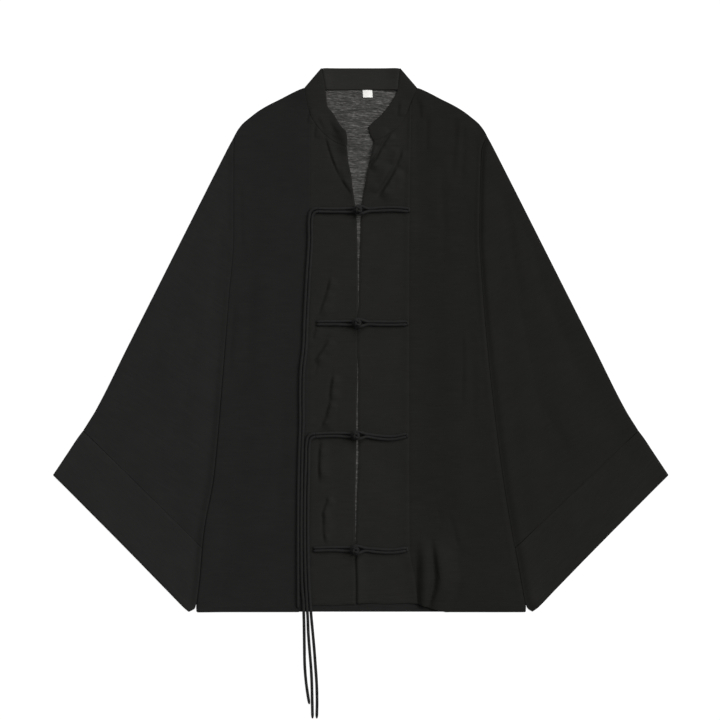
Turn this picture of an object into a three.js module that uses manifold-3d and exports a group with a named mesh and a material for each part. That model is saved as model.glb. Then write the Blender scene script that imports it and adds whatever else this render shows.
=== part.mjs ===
// Wide kimono-style jacket with a stand collar and four frog closures, laid flat with its front up.
// Millimetres. The jacket is drawn with x from its centre line and "up" from its hem. Z is up off the surface.
// The wearer's right side is at -X, the wearer's left side is at +X.
import * as THREE from "three";
import Module from "manifold-3d";
import { mergeVertices } from "three/addons/utils/BufferGeometryUtils.js";

const manifold = await Module();
manifold.setup();

// Driving dimensions
const JACKET_LENGTH = 761; // from the hem to the top of the collar
const CLOTH = 1.2; // the wall of every cloth piece, turnings and seams included
const GAP = 0.3; // between one layer and the next
const SEAM = 0.2; // each of two sewn pieces stops this far before their seam line
const CORD_RADIUS = 1.95;
const CORD_SIDES = 8;
const PAIR_STEPS = 7;
const LOOP_STEPS = 30;
const TAIL_STEP = 6 * CORD_RADIUS; // the length of one step of a free tail
const KNOT_RADIUS = 6.2;
const KNOT_HEIGHT = 10;
const STEM_RADIUS = 2.6; // the neck of a button knot, which the loop holds
const LABEL = { width: 15, height: 11, drop: 1.2, x: 9.3 };

// Heights of the middle of the wall, for the layer on the surface and for the layer that lies on it
const BACK_LEVEL = CLOTH / 2;
const FRONT_LEVEL = CLOTH + GAP + CLOTH / 2;
const FRONT_TOP = FRONT_LEVEL + CLOTH / 2;
const CORD_LEVEL = FRONT_TOP + GAP + CORD_RADIUS;
const CROSSING_LEVEL = CORD_LEVEL + 2 * CORD_RADIUS + GAP;

// Outline and seams, as places on the wearer's right and left. Every table runs from the top down.
const SHOULDER = [
  { out: 79.5, up: 731.5 }, { out: 88, up: 730 }, { out: 96, up: 726 }, { out: 113, up: 717.5 },
  { out: 130, up: 709 }, { out: 144, up: 700.5 }, { out: 155, up: 692 }, { out: 165, up: 683.5 },
  { out: 172, up: 674.5 }, { out: 176.8, up: 666 },
];
const SLEEVE_FOLD = [
  { out: 179.5, up: 661 }, { out: 183, up: 654.5 }, { out: 193, up: 635 }, { out: 370.5, up: 282 },
  { out: 383.2, up: 262.5 }, { out: 388.8, up: 254 },
];
const CUFF_FOLD = [
  { out: 388.8, up: 254 }, { out: 397, up: 243 }, { out: 410, up: 223.3 }, { out: 431, up: 191.8 },
];
const CUFF_CORNER = { out: 238.6, up: 0 };
const CUFF_SEAM_UP = 89.6; // where the cuff's seam meets the side of the body
const NOTCH_UP = 5.5; // between the hem and the cuff's corner
const SLEEVE_SEAM = {
  right: [
    { out: 176.8, up: 666 }, { out: 178, up: 643 }, { out: 178.2, up: 526 }, { out: 185, up: 439 },
    { out: 194, up: 324 }, { out: 206, up: 190 }, { out: 220, up: 111 }, { out: 226, up: 44 },
    { out: 230, up: 5.5 }, { out: 228.8, up: 0 },
  ],
  left: [
    { out: 176.8, up: 666 }, { out: 169, up: 643 }, { out: 166.4, up: 526 }, { out: 169.5, up: 470 },
    { out: 177.5, up: 372 }, { out: 198, up: 198 }, { out: 211, up: 117 }, { out: 222, up: 60 },
    { out: 231, up: 5.5 }, { out: 230, up: 0 },
  ],
};
const BAND_SEAM = {
  right: [
    { out: 70.3, up: 695 }, { out: 71.8, up: 558 }, { out: 73.2, up: 436 }, { out: 73.2, up: 280 },
    { out: 70.3, up: 88 }, { out: 68, up: 9 },
  ],
  left: [
    { out: 71, up: 713 }, { out: 68.3, up: 558 }, { out: 67.6, up: 436 }, { out: 67.6, up: 254 },
    { out: 68.3, up: 88 }, { out: 75, up: 51 }, { out: 80, up: 12 },
  ],
};
const FRONT_EDGE = {
  right: [
    { out: 19.7, up: 650.3 }, { out: 17.7, up: 630.7 }, { out: 12.9, up: 608 }, { out: 9.6, up: 583 },
    { out: 6.2, up: 555 }, { out: 2.6, up: 436 }, { out: 1.4, up: 380 }, { out: 6.4, up: 296 },
    { out: 6.8, up: 240 }, { out: 9.3, up: 114 }, { out: 6.8, up: 75 }, { out: 7.3, up: 10.5 },
  ],
  left: [
    { out: 18.3, up: 658.7 }, { out: 17, up: 644 }, { out: 9.2, up: 605 }, { out: 5.2, up: 579 },
    { out: 1, up: 554 }, { out: -0.3, up: 436 }, { out: -0.7, up: 380 }, { out: -1.8, up: 296 },
    { out: -1.2, up: 226 }, { out: -4.1, up: 114 }, { out: -5.4, up: 75 }, { out: -5.3, up: 12 },
  ],
};
const NECK_SEAM = {
  right: [
    { out: 79.5, up: 731.5 }, { out: 76, up: 716 }, { out: 70.3, up: 695 }, { out: 62, up: 681 },
    { out: 49.3, up: 667 }, { out: 35.3, up: 657.3 }, { out: 19.7, up: 650.3 },
  ],
  left: [
    { out: 79.5, up: 731.5 }, { out: 71, up: 713 }, { out: 57, up: 684 }, { out: 45.8, up: 672.7 },
    { out: 31.8, up: 664.3 }, { out: 18.3, up: 658.7 },
  ],
};
const COLLAR_TOP = {
  right: [
    { out: 55.5, up: JACKET_LENGTH }, { out: 49.3, up: 730 }, { out: 47, up: 709 }, { out: 39.5, up: 699.3 },
    { out: 28.3, up: 680.4 }, { out: 20.4, up: 672.7 },
  ],
  left: [
    { out: 55.5, up: JACKET_LENGTH }, { out: 50.9, up: 730 }, { out: 30.7, up: 698 }, { out: 21.5, up: 689.5 },
    { out: 10.4, up: 679.3 },
  ],
};
const BACK_NECK_UP = 729;
const BAND_NECK_STEPS = 6;
const FRONT_NECK_STEPS = 2;
const FRONT_COLUMNS = 10;
const HEM = {
  right: { seam: 228.8, level: 88, band: { out: 68, up: 9 }, edge: { out: 7.3, up: 10.5 } },
  left: { seam: 230, level: 119, band: { out: 80, up: 12 }, edge: { out: -5.3, up: 12 } },
};

// The largest folds, as soft ridges between two places: x and up of each end, half the width, and the height
const FOLDS = [
  { x1: -20, up1: 640, x2: -12, up2: 588, half: 9, height: 1.4 },
  { x1: 19, up1: 640, x2: 10, up2: 596, half: 9, height: 1.6 },
  { x1: 96, up1: 88, x2: 90, up2: 4, half: 7, height: 3.1 },
  { x1: -128, up1: 560, x2: -148, up2: 120, half: 24, height: 1.0 },
  { x1: 112, up1: 600, x2: 138, up2: 150, half: 24, height: 1.2 },
  { x1: -200, up1: 580, x2: -290, up2: 240, half: 30, height: 1.3 },
  { x1: 200, up1: 560, x2: 300, up2: 260, half: 30, height: 1.3 },
  { x1: -215, up1: 470, x2: -240, up2: 150, half: 18, height: 1.0 },
  { x1: 210, up1: 440, x2: 250, up2: 130, half: 18, height: 1.1 },
];
const SLEEVE_FOLD_PUFF = { half: 20, height: 1.2 };
const COLLAR_FOLD_PUFF = { half: 20, height: 2.9 };

// Frog closures from the top one down: the knot, and how far its cords reach to each side. "sag" lowers a pair's
// middle.
const FROGS = [
  { x: -3.2, up: 562.5, right: -59.5, left: 67, sag: -1.5 },
  { x: -4.5, up: 404.5, right: -62, left: 65, sag: 0.5 },
  { x: -6.5, up: 247.5, right: -63.1, left: 64, sag: 3.5 },
  { x: -7.5, up: 88, right: -66.5, left: 64, sag: 2.5 },
];

// Free tails of frogs 1 and 3, as places on their centre lines. They lie on the jacket down to the hem and then
// on the surface.
const TAILS = [
  {
    name: "cord_tail_1",
    route: [
      [-60, 564.6], [-62.3, 564.6], [-65.9, 563.8], [-69, 561.7], [-71.1, 558.5], [-71.9, 554.7],
      [-72.8, 520], [-76.2, 464], [-78.8, 415], [-81, 366], [-84.2, 338], [-85, 310], [-84.9, 261],
      [-86, 233], [-87.2, 184], [-87.8, 128], [-87.9, 72], [-87.6, 6],
    ],
  },
  {
    name: "cord_tail_2",
    route: [
      [-60, 560.4], [-61.5, 560.3], [-63.4, 559.6], [-65.4, 558], [-67, 555.6], [-67.6, 552.6], [-68.4, 520],
      [-71.8, 464], [-74.4, 415], [-76.6, 366], [-79.6, 338], [-80.4, 310], [-80.4, 261], [-81.6, 233],
      [-82.6, 184], [-83.2, 128], [-83, 72], [-81.8, 30], [-80.4, 16], [-79.9, 4], [-79.6, -8],
      [-79.4, -20], [-79, -45], [-78.2, -79], [-76.8, -96], [-74.6, -113], [-72, -129],
    ],
  },
  {
    name: "cord_tail_3",
    route: [
      [-63.6, 249.6], [-66.4, 249.6], [-70, 248.6], [-72.8, 246.6], [-74.8, 243.4], [-75.6, 239.6],
      [-76.9, 210], [-77.8, 184], [-78.5, 128], [-78, 72], [-76.9, 37], [-75.6, 16], [-74.9, 4],
      [-74.2, -8], [-73.6, -26], [-71.6, -54], [-69.6, -79], [-68.7, -96], [-68, -124], [-67.5, -149],
    ],
  },
  {
    name: "cord_tail_4",
    route: [
      [-63.6, 245.4], [-65.1, 245.3], [-67, 244.6], [-69, 243], [-70.6, 240.6], [-71.2, 237.6], [-72.4, 210],
      [-73, 184], [-73.9, 128], [-73.4, 72], [-72.2, 37], [-70.8, 16], [-70, 4], [-69.1, -8],
      [-67, -31], [-65, -54], [-63.2, -79], [-62, -96], [-61.2, -124], [-61.6, -149],
    ],
  },
];
const TAIL_FALL = { from: 3, to: -20 }; // "up" where a tail leaves the jacket's hem and where it lies on the surface

const SIDES = { right: -1, left: 1 };
const COLOURS = { cloth: "#232323", inside: "#454545", cord: "#1e1e1e", label: "#e9e8e4" };

const jacket = new THREE.Group();

function addPiece(name, geometry, colour, roughness = 0.9) {
  const material = new THREE.MeshStandardMaterial({ color: colour, roughness, metalness: 0 });
  const mesh = new THREE.Mesh(geometry, material);
  mesh.name = name;
  mesh.position.y = -JACKET_LENGTH / 2;
  jacket.add(mesh);
}

// Places on the pattern
function place(out, up, side) {
  return new THREE.Vector2(side * out, up);
}

function places(table, side) {
  return table.map((row) => place(row.out, row.up, side));
}

function along(points, share) {
  const lengths = points.slice(1).map((point, i) => point.distanceTo(points[i]));
  let left = share * lengths.reduce((sum, length) => sum + length, 0);
  for (let i = 0; i < lengths.length; i++) {
    if (left <= lengths[i] || i === lengths.length - 1) {
      return points[i].clone().lerp(points[i + 1], Math.min(1, left / lengths[i]));
    }
    left -= lengths[i];
  }
}

function crossing(table, up, side) {
  const below = Math.max(1, table.findIndex((row) => row.up <= up));
  const high = table[below - 1];
  const low = table[below];
  const share = THREE.MathUtils.clamp((high.up - up) / (high.up - low.up), 0, 1);
  return place(THREE.MathUtils.lerp(high.out, low.out, share), up, side);
}

// Height of the folds above the flat lay
function distanceToStretch(point, start, end) {
  const line = end.clone().sub(start);
  const share = THREE.MathUtils.clamp(point.clone().sub(start).dot(line) / line.lengthSq(), 0, 1);
  return point.distanceTo(start.clone().addScaledVector(line, share));
}

function ridge(distance, half, height) {
  return height * Math.exp(-((distance / half) ** 2));
}

function lift(point) {
  let height = 0;
  for (const fold of FOLDS) {
    const start = new THREE.Vector2(fold.x1, fold.up1);
    const end = new THREE.Vector2(fold.x2, fold.up2);
    height = Math.max(height, ridge(distanceToStretch(point, start, end), fold.half, fold.height));
  }
  for (const side of Object.values(SIDES)) {
    const neck = place(NECK_SEAM.right[0].out, NECK_SEAM.right[0].up, side);
    const top = place(COLLAR_TOP.right[0].out, COLLAR_TOP.right[0].up, side);
    const distance = distanceToStretch(point, neck, top);
    height = Math.max(height, ridge(distance, COLLAR_FOLD_PUFF.half, COLLAR_FOLD_PUFF.height));
  }
  return height;
}

function onBack(point) {
  return new THREE.Vector3(point.x, point.y, BACK_LEVEL);
}

function onFront(point) {
  return new THREE.Vector3(point.x, point.y, FRONT_LEVEL + lift(point));
}

// The levels at which both pieces of a long seam have a row, so that they bend alike
const SEAM_TOP = SHOULDER.at(-1).up;
const SLEEVE_STEPS = 15;
const SLEEVE_LEVELS = Array.from({ length: SLEEVE_STEPS + 1 }, (unused, i) => (
  THREE.MathUtils.lerp(SEAM_TOP, CUFF_SEAM_UP, i / SLEEVE_STEPS)
));
const CUFF_LEVELS = [CUFF_SEAM_UP, 58, 28, NOTCH_UP];
const BODY_SHARES = [...SLEEVE_LEVELS, ...CUFF_LEVELS.slice(1), 0].map((up) => 1 - up / SEAM_TOP);

// A closed wall of cloth on both sides of a sheet of points, given as rows
function wall(rows, thickness = CLOTH) {
  const height = rows.length;
  const width = rows[0].length;
  const normals = rows.map((row, i) => row.map((point, j) => {
    const across = row[Math.min(j + 1, width - 1)].clone().sub(row[Math.max(j - 1, 0)]);
    const down = rows[Math.min(i + 1, height - 1)][j].clone().sub(rows[Math.max(i - 1, 0)][j]);
    return across.cross(down).normalize();
  }));
  const positions = [];
  for (const share of [0.5, -0.5]) {
    rows.forEach((row, i) => row.forEach((point, j) => {
      positions.push(...point.clone().addScaledVector(normals[i][j], share * thickness).toArray());
    }));
  }
  const at = (face, i, j) => face * height * width + i * width + j;
  const faces = [];
  const quad = (a, b, c, d) => faces.push(a, b, c, a, c, d);
  for (let i = 0; i + 1 < height; i++) {
    for (let j = 0; j + 1 < width; j++) {
      quad(at(0, i, j), at(0, i, j + 1), at(0, i + 1, j + 1), at(0, i + 1, j));
      quad(at(1, i, j), at(1, i + 1, j), at(1, i + 1, j + 1), at(1, i, j + 1));
    }
    quad(at(0, i, 0), at(0, i + 1, 0), at(1, i + 1, 0), at(1, i, 0));
    quad(at(0, i, width - 1), at(1, i, width - 1), at(1, i + 1, width - 1), at(0, i + 1, width - 1));
  }
  for (let j = 0; j + 1 < width; j++) {
    quad(at(0, 0, j), at(1, 0, j), at(1, 0, j + 1), at(0, 0, j + 1));
    quad(at(0, height - 1, j), at(0, height - 1, j + 1), at(1, height - 1, j + 1), at(1, height - 1, j));
  }
  const geometry = new THREE.BufferGeometry();
  geometry.setAttribute("position", new THREE.Float32BufferAttribute(positions, 3));
  geometry.setIndex(signedVolume(positions, faces) > 0 ? faces : faces.reverse());
  return geometry;
}

function signedVolume(positions, faces) {
  let volume = 0;
  const corner = (index) => new THREE.Vector3().fromArray(positions, 3 * index);
  for (let k = 0; k < faces.length; k += 3) {
    volume += corner(faces[k]).dot(corner(faces[k + 1]).cross(corner(faces[k + 2]))) / 6;
  }
  return volume;
}

// A four-sided pattern piece of the body, blended between its edges. Each edge gives a place for a share from 0
// to 1, and the piece stops SEAM before each of them.
function patternPiece({ top, bottom, start, end, columnCount, level }) {
  const width = start(0.5).distanceTo(end(0.5));
  const height = top(0.5).distanceTo(bottom(0.5));
  const inside = (share, length) => THREE.MathUtils.clamp(share, SEAM / length, 1 - SEAM / length);
  const rows = [];
  for (const rowShare of BODY_SHARES) {
    const v = inside(rowShare, height);
    const row = [];
    for (let j = 0; j <= columnCount; j++) {
      const u = inside(j / columnCount, width);
      const point = top(u).multiplyScalar(1 - v).addScaledVector(bottom(u), v);
      point.addScaledVector(start(v), 1 - u).addScaledVector(end(v), u);
      point.addScaledVector(top(0), -(1 - u) * (1 - v)).addScaledVector(top(1), -u * (1 - v));
      point.addScaledVector(bottom(0), -(1 - u) * v).addScaledVector(bottom(1), -u * v);
      row.push(level(point));
    }
    rows.push(row);
  }
  return wall(rows);
}

function edgeBetween(table, side, upTop, upBottom) {
  return (share) => crossing(table, THREE.MathUtils.lerp(upTop, upBottom, share), side);
}

function edgeThrough(points) {
  return (share) => along(points, share);
}

// Two lines of places after each other, with the share of the edge that the first of them takes
function edgeOfTwo(first, second, split) {
  return (share) => (share <= split ? along(first, share / split) : along(second, (share - split) / (1 - split)));
}

// The neck seam's stretch on the front panel, and its stretch on the front band
function neckStretch(sideName, onPanel) {
  const bandTop = BAND_SEAM[sideName][0].up;
  const table = NECK_SEAM[sideName].filter((row) => (onPanel ? row.up >= bandTop : row.up <= bandTop));
  return places(table, SIDES[sideName]);
}

// Back, in one piece between the two sleeve seams
function back() {
  const shoulder = (side) => {
    const points = places(SHOULDER, side);
    points[0].y = BACK_NECK_UP;
    points[1].y = BACK_NECK_UP;
    return points;
  };
  const right = shoulder(-1).reverse();
  const left = shoulder(1);
  const neck = [right.at(-1), left[0]];
  const third = 1 / 3;
  return patternPiece({
    top: (u) => (u < third ? along(right, u / third)
      : u < 2 * third ? along(neck, u / third - 1)
        : along(left, Math.min(1, u / third - 2))),
    bottom: edgeThrough([place(HEM.right.seam, 0, -1), place(HEM.left.seam, 0, 1)]),
    start: edgeBetween(SLEEVE_SEAM.right, -1, SHOULDER.at(-1).up, 0),
    end: edgeBetween(SLEEVE_SEAM.left, 1, SHOULDER.at(-1).up, 0),
    columnCount: 12,
    level: onBack,
  });
}

// Front panel, between its sleeve seam and the seam of the front band
function front(sideName) {
  const side = SIDES[sideName];
  const hem = HEM[sideName];
  const bandTop = BAND_SEAM[sideName][0];
  const shoulder = places(SHOULDER, side).reverse();
  const neck = neckStretch(sideName, true);
  neck[0].add(place(0.9, -1.2, side));
  shoulder[shoulder.length - 1] = neck[0];
  const shoulderShare = 1 - FRONT_NECK_STEPS / FRONT_COLUMNS;
  const hemLine = [
    place(hem.seam, 0, side), place(hem.level, 0, side), place(hem.band.out, hem.band.up, side),
  ];
  return patternPiece({
    top: edgeOfTwo(shoulder, neck, shoulderShare),
    bottom: edgeOfTwo(hemLine.slice(0, 2), hemLine.slice(1), shoulderShare),
    start: edgeBetween(SLEEVE_SEAM[sideName], side, SHOULDER.at(-1).up, 0),
    end: edgeBetween(BAND_SEAM[sideName], side, bandTop.up, hem.band.up),
    columnCount: FRONT_COLUMNS,
    level: onFront,
  });
}

// Front band, from the collar down the open edge to the hem
function frontBand(sideName) {
  const side = SIDES[sideName];
  const hem = HEM[sideName];
  const bandTop = BAND_SEAM[sideName][0];
  const edgeTop = FRONT_EDGE[sideName][0];
  return patternPiece({
    top: edgeThrough(neckStretch(sideName, false)),
    bottom: edgeThrough([place(hem.band.out, hem.band.up, side), place(hem.edge.out, hem.edge.up, side)]),
    start: edgeBetween(BAND_SEAM[sideName], side, bandTop.up, hem.band.up),
    end: edgeBetween(FRONT_EDGE[sideName], side, edgeTop.up, hem.edge.up),
    columnCount: BAND_NECK_STEPS,
    level: onFront,
  });
}

// A row of a flattened sleeve: the layer on the surface out to the fold, round the fold, and back above it
function foldedRow(seam, fold) {
  const outward = fold.clone().sub(seam);
  const width = outward.length();
  outward.normalize();
  const puff = Math.min(SLEEVE_FOLD_PUFF.height, width / 10);
  const radius = (FRONT_LEVEL + puff - BACK_LEVEL) / 2;
  const inner = seam.clone().addScaledVector(outward, SEAM);
  const turn = fold.clone().addScaledVector(outward, -radius - CLOTH / 2);
  const row = [];
  for (const share of [0, 0.4, 0.8]) {
    row.push(onBack(inner.clone().lerp(turn, share)));
  }
  for (const angle of [-90, -45, 0, 45]) {
    const turned = THREE.MathUtils.degToRad(angle);
    const point = turn.clone().addScaledVector(outward, radius * Math.cos(turned));
    row.push(new THREE.Vector3(point.x, point.y, BACK_LEVEL + radius + radius * Math.sin(turned)));
  }
  for (const share of [1, 0.9, 0.75, 0.6, 0.45, 0.3, 0.15, 0]) {
    const point = inner.clone().lerp(turn, share);
    const raised = onFront(point);
    const nearFold = ridge(point.distanceTo(turn), SLEEVE_FOLD_PUFF.half, puff);
    raised.z = share === 1 ? FRONT_LEVEL + puff : Math.max(raised.z, FRONT_LEVEL + nearFold);
    row.push(raised);
  }
  return row;
}

function tube(seamPlaces, foldLine) {
  const steps = seamPlaces.length - 1;
  return wall(seamPlaces.map((seam, i) => foldedRow(seam, along(foldLine, i / steps))));
}

// Sleeve, sewn along the whole side of the body down to the cuff's seam
function sleeve(sideName) {
  const side = SIDES[sideName];
  const seamPlaces = SLEEVE_LEVELS.map((up) => crossing(SLEEVE_SEAM[sideName], up, side));
  seamPlaces[0].y -= 2 * SEAM;
  seamPlaces.at(-1).y += 2 * SEAM;
  return tube(seamPlaces, places(SLEEVE_FOLD, side));
}

// Cuff, a straight band round the sleeve's open end
function cuff(sideName) {
  const side = SIDES[sideName];
  const foldLine = places(CUFF_FOLD, side);
  foldLine[0].y -= 2 * SEAM;
  const lowerSide = CUFF_LEVELS.map((up) => crossing(SLEEVE_SEAM[sideName], up, side));
  lowerSide[0].y -= 2 * SEAM;
  lowerSide.push(place(CUFF_CORNER.out, CUFF_CORNER.up, side));
  return tube(lowerSide, foldLine);
}

// Collar: one strip that stands behind the neck and folds over at each side to its front ends
function collar() {
  const across = (foot, top) => [0, 1 / 3, 2 / 3, 1].map((share) => {
    const length = foot.distanceTo(top);
    return foot.clone().lerp(top, THREE.MathUtils.lerp(SEAM / length, 1, share));
  });
  const puffLevel = FRONT_LEVEL + COLLAR_FOLD_PUFF.height;
  const radius = (puffLevel - BACK_LEVEL) / 2;
  const frontRows = (sideName) => {
    const side = SIDES[sideName];
    const feet = [];
    for (let i = 0; i < BAND_NECK_STEPS; i++) {
      feet.push(along(neckStretch(sideName, false), 1 - i / BAND_NECK_STEPS));
    }
    for (let i = 0; i < FRONT_NECK_STEPS; i++) {
      feet.push(along(neckStretch(sideName, true), 1 - i / FRONT_NECK_STEPS));
    }
    const foot = places(NECK_SEAM[sideName], side);
    const top = places(COLLAR_TOP[sideName], side);
    const rows = feet.map((point, i) => across(point, along(top, 1 - i / feet.length)).map(onFront));
    const foldLine = top[0].clone().sub(foot[0]).normalize();
    const outward = new THREE.Vector2(side * Math.abs(foldLine.y), Math.abs(foldLine.x));
    for (const angle of [90, 60, 30, 0, -30, -60, -90]) {
      const turned = THREE.MathUtils.degToRad(angle);
      const shift = radius * Math.cos(turned) - radius - CLOTH / 2;
      const z = BACK_LEVEL + radius + radius * Math.sin(turned);
      const points = across(foot[0], top[0]).map((point) => point.addScaledVector(outward, shift));
      rows.push(points.map((point) => new THREE.Vector3(point.x, point.y, z)));
    }
    return rows;
  };
  const right = frontRows("right");
  const left = frontRows("left").reverse();
  const standRows = [];
  const standSteps = 8;
  for (let i = 1; i < standSteps; i++) {
    const share = i / standSteps;
    standRows.push(right.at(-1).map((point, j) => point.clone().lerp(left[0][j], share)));
  }
  return wall([...right, ...standRows, ...left]);
}

// Size label, sewn to the inside of the back below the collar
function label() {
  const rows = [0, 1].map((i) => [0, 1].map((j) => new THREE.Vector3(
    LABEL.x + (j - 0.5) * LABEL.width,
    BACK_NECK_UP - LABEL.drop - i * LABEL.height,
    CLOTH + GAP + 0.5,
  )));
  return wall(rows, 1);
}

// Round cord along a line of points
function cord(points, stepCount) {
  const line = new THREE.CatmullRomCurve3(points, false, "centripetal");
  const section = new THREE.Shape(Array.from({ length: CORD_SIDES }, (unused, i) => {
    const angle = ((i + 0.5) / CORD_SIDES) * 2 * Math.PI;
    return new THREE.Vector2(CORD_RADIUS * Math.cos(angle), CORD_RADIUS * Math.sin(angle));
  }));
  return new THREE.ExtrudeGeometry(section, { steps: stepCount, extrudePath: line });
}

function solidOf(geometry) {
  const bare = geometry.clone();
  bare.deleteAttribute("normal");
  bare.deleteAttribute("uv");
  const merged = mergeVertices(bare, 1e-4);
  return new manifold.Manifold(new manifold.Mesh({
    numProp: 3,
    vertProperties: new Float32Array(merged.attributes.position.array),
    triVerts: new Uint32Array(merged.index.array),
  }));
}

function joined(geometries) {
  const mesh = geometries.map(solidOf).reduce((whole, solid) => whole.add(solid)).getMesh();
  const geometry = new THREE.BufferGeometry();
  geometry.setAttribute("position", new THREE.Float32BufferAttribute(mesh.vertProperties, 3));
  geometry.setIndex(Array.from(mesh.triVerts));
  return geometry;
}

// Half the distance between the two cords of a pair
const PAIR_HALF = CORD_RADIUS + GAP / 2;

// Button knot with its neck and the pair of cords that is sewn to the wearer's right
function buttonKnot(frog) {
  const knotLevel = CROSSING_LEVEL + CORD_RADIUS + GAP + KNOT_HEIGHT / 2;
  const ball = new THREE.SphereGeometry(1, 14, 9);
  ball.rotateX(Math.PI / 2);
  ball.scale(KNOT_RADIUS, KNOT_RADIUS, KNOT_HEIGHT / 2);
  ball.translate(frog.x, frog.up, knotLevel);
  const stemHeight = knotLevel - CORD_LEVEL + CORD_RADIUS;
  const stem = new THREE.CylinderGeometry(STEM_RADIUS, STEM_RADIUS, stemHeight, 10);
  stem.rotateX(Math.PI / 2);
  stem.translate(frog.x, frog.up, CORD_LEVEL - CORD_RADIUS + stemHeight / 2);
  const pair = [1, -1].map((strand) => {
    const middle = (frog.x + frog.right) / 2;
    const points = [
      new THREE.Vector3(frog.x, frog.up + 0.4 * strand, CORD_LEVEL),
      new THREE.Vector3(frog.x - 6, frog.up + strand * PAIR_HALF, CORD_LEVEL),
      new THREE.Vector3(middle, frog.up + strand * PAIR_HALF + 0.3 * frog.sag, CORD_LEVEL),
      new THREE.Vector3(frog.right, frog.up + strand * PAIR_HALF, CORD_LEVEL),
    ];
    return cord(points, PAIR_STEPS);
  });
  return joined([ball, stem, ...pair]);
}

// Loop that holds the knot, a pair of cords that is sewn to the wearer's left
function buttonLoop(frog) {
  const eye = STEM_RADIUS + GAP + CORD_RADIUS + 0.3;
  const arm = (strand) => [
    new THREE.Vector3(frog.left, frog.up + strand * PAIR_HALF, CORD_LEVEL),
    new THREE.Vector3(frog.left - 18, frog.up + strand * PAIR_HALF - frog.sag, CORD_LEVEL),
    new THREE.Vector3(frog.x + 27, frog.up + strand * PAIR_HALF - 0.6 * frog.sag, CORD_LEVEL),
    new THREE.Vector3(frog.x + 13, frog.up + strand * PAIR_HALF, CORD_LEVEL + 0.6),
    new THREE.Vector3(frog.x + 5, frog.up + strand * (eye - 0.6), CROSSING_LEVEL - 0.3),
  ];
  const bight = [70, 35, 0, -35, -70].map((angle) => {
    const turned = THREE.MathUtils.degToRad(angle);
    const x = frog.x - eye * Math.cos(turned);
    return new THREE.Vector3(x, frog.up + eye * Math.sin(turned), CROSSING_LEVEL);
  });
  return cord([...arm(1), ...bight, ...arm(-1).reverse()], LOOP_STEPS);
}

function freeTail({ route }) {
  const points = route.map(([x, up]) => {
    const fall = THREE.MathUtils.smoothstep(TAIL_FALL.from - up, 0, TAIL_FALL.from - TAIL_FALL.to);
    return new THREE.Vector3(x, up, THREE.MathUtils.lerp(CORD_LEVEL, CORD_RADIUS + GAP / 3, fall));
  });
  const length = new THREE.CatmullRomCurve3(points, false, "centripetal").getLength();
  return cord(points, Math.round(length / TAIL_STEP));
}

addPiece("back", back(), COLOURS.inside);
for (const sideName of Object.keys(SIDES)) {
  addPiece(`front_${sideName}`, front(sideName), COLOURS.cloth);
  addPiece(`front_band_${sideName}`, frontBand(sideName), COLOURS.cloth);
  addPiece(`sleeve_${sideName}`, sleeve(sideName), COLOURS.cloth);
  addPiece(`cuff_${sideName}`, cuff(sideName), COLOURS.cloth);
}
addPiece("collar", collar(), COLOURS.cloth);
addPiece("size_label", label(), COLOURS.label, 0.6);
FROGS.forEach((frog, i) => {
  addPiece(`button_knot_${i + 1}`, buttonKnot(frog), COLOURS.cord);
  addPiece(`button_loop_${i + 1}`, buttonLoop(frog), COLOURS.cord);
});
for (const tail of TAILS) {
  addPiece(tail.name, freeTail(tail), COLOURS.cord);
}

export default jacket;
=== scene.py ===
# Wide kimono-style jacket with a stand collar and four frog closures, laid flat with its front up.
# The pattern is in millimetres: x from the centre line and "up" from the hem. Meshes are in metres.
import math

import bpy
import numpy as np
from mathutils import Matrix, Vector


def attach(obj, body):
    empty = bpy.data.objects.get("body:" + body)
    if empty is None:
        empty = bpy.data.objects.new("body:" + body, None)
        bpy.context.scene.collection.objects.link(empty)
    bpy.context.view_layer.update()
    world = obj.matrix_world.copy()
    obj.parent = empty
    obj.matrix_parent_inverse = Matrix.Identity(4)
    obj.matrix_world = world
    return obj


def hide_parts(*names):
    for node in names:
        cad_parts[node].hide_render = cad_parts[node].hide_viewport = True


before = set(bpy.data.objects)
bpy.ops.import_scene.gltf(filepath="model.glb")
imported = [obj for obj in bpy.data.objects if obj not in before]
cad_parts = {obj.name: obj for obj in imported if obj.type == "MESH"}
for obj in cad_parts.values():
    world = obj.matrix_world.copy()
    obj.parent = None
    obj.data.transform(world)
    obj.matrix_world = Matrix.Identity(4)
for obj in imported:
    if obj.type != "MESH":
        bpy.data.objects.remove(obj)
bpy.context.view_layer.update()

MM = 0.001

# Driving sizes, in millimetres
JACKET_LENGTH = 761.0
CLOTH = 0.9
COLLAR_CLOTH = 1.5  # doubled, with a stiff layer between
CORD_RADIUS = 1.95
TAIL_RADIUS = 2.12
CORD_WAVER = 0.025  # share of a cord's radius by which it is uneven
STEM_RADIUS = 2.6
KNOT_RADIUS = 6.2
KNOT_HEIGHT = 10.0
BACK_LEVEL = CLOTH / 2
FRONT_TOP = 2.7
FRONT_LEVEL = FRONT_TOP - CLOTH / 2
LOWEST_FRONT = BACK_LEVEL + CLOTH + 0.1
CORD_LEVEL = FRONT_TOP + 0.3 + CORD_RADIUS
CROSSING_LEVEL = CORD_LEVEL + 2 * CORD_RADIUS + 0.3
PAIR_HALF = CORD_RADIUS + 0.15
SEAM_GAP = 0.08
SEAM_ROLL_RADIUS = 0.42
HEM_DEPTH = 14.0
EDGE_INSET = CLOTH / 2 + SEAM_GAP
STITCH = {"pitch": 3.3, "length": 2.5, "radius": 0.2, "from_hem_fold": 1.2, "from_edge": 2.6}
LABEL = {"width": 13.0, "height": 10.9, "thickness": 0.45, "top": 731.4, "x": 9.3, "level": 1.6, "lean": 0.06}

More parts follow.
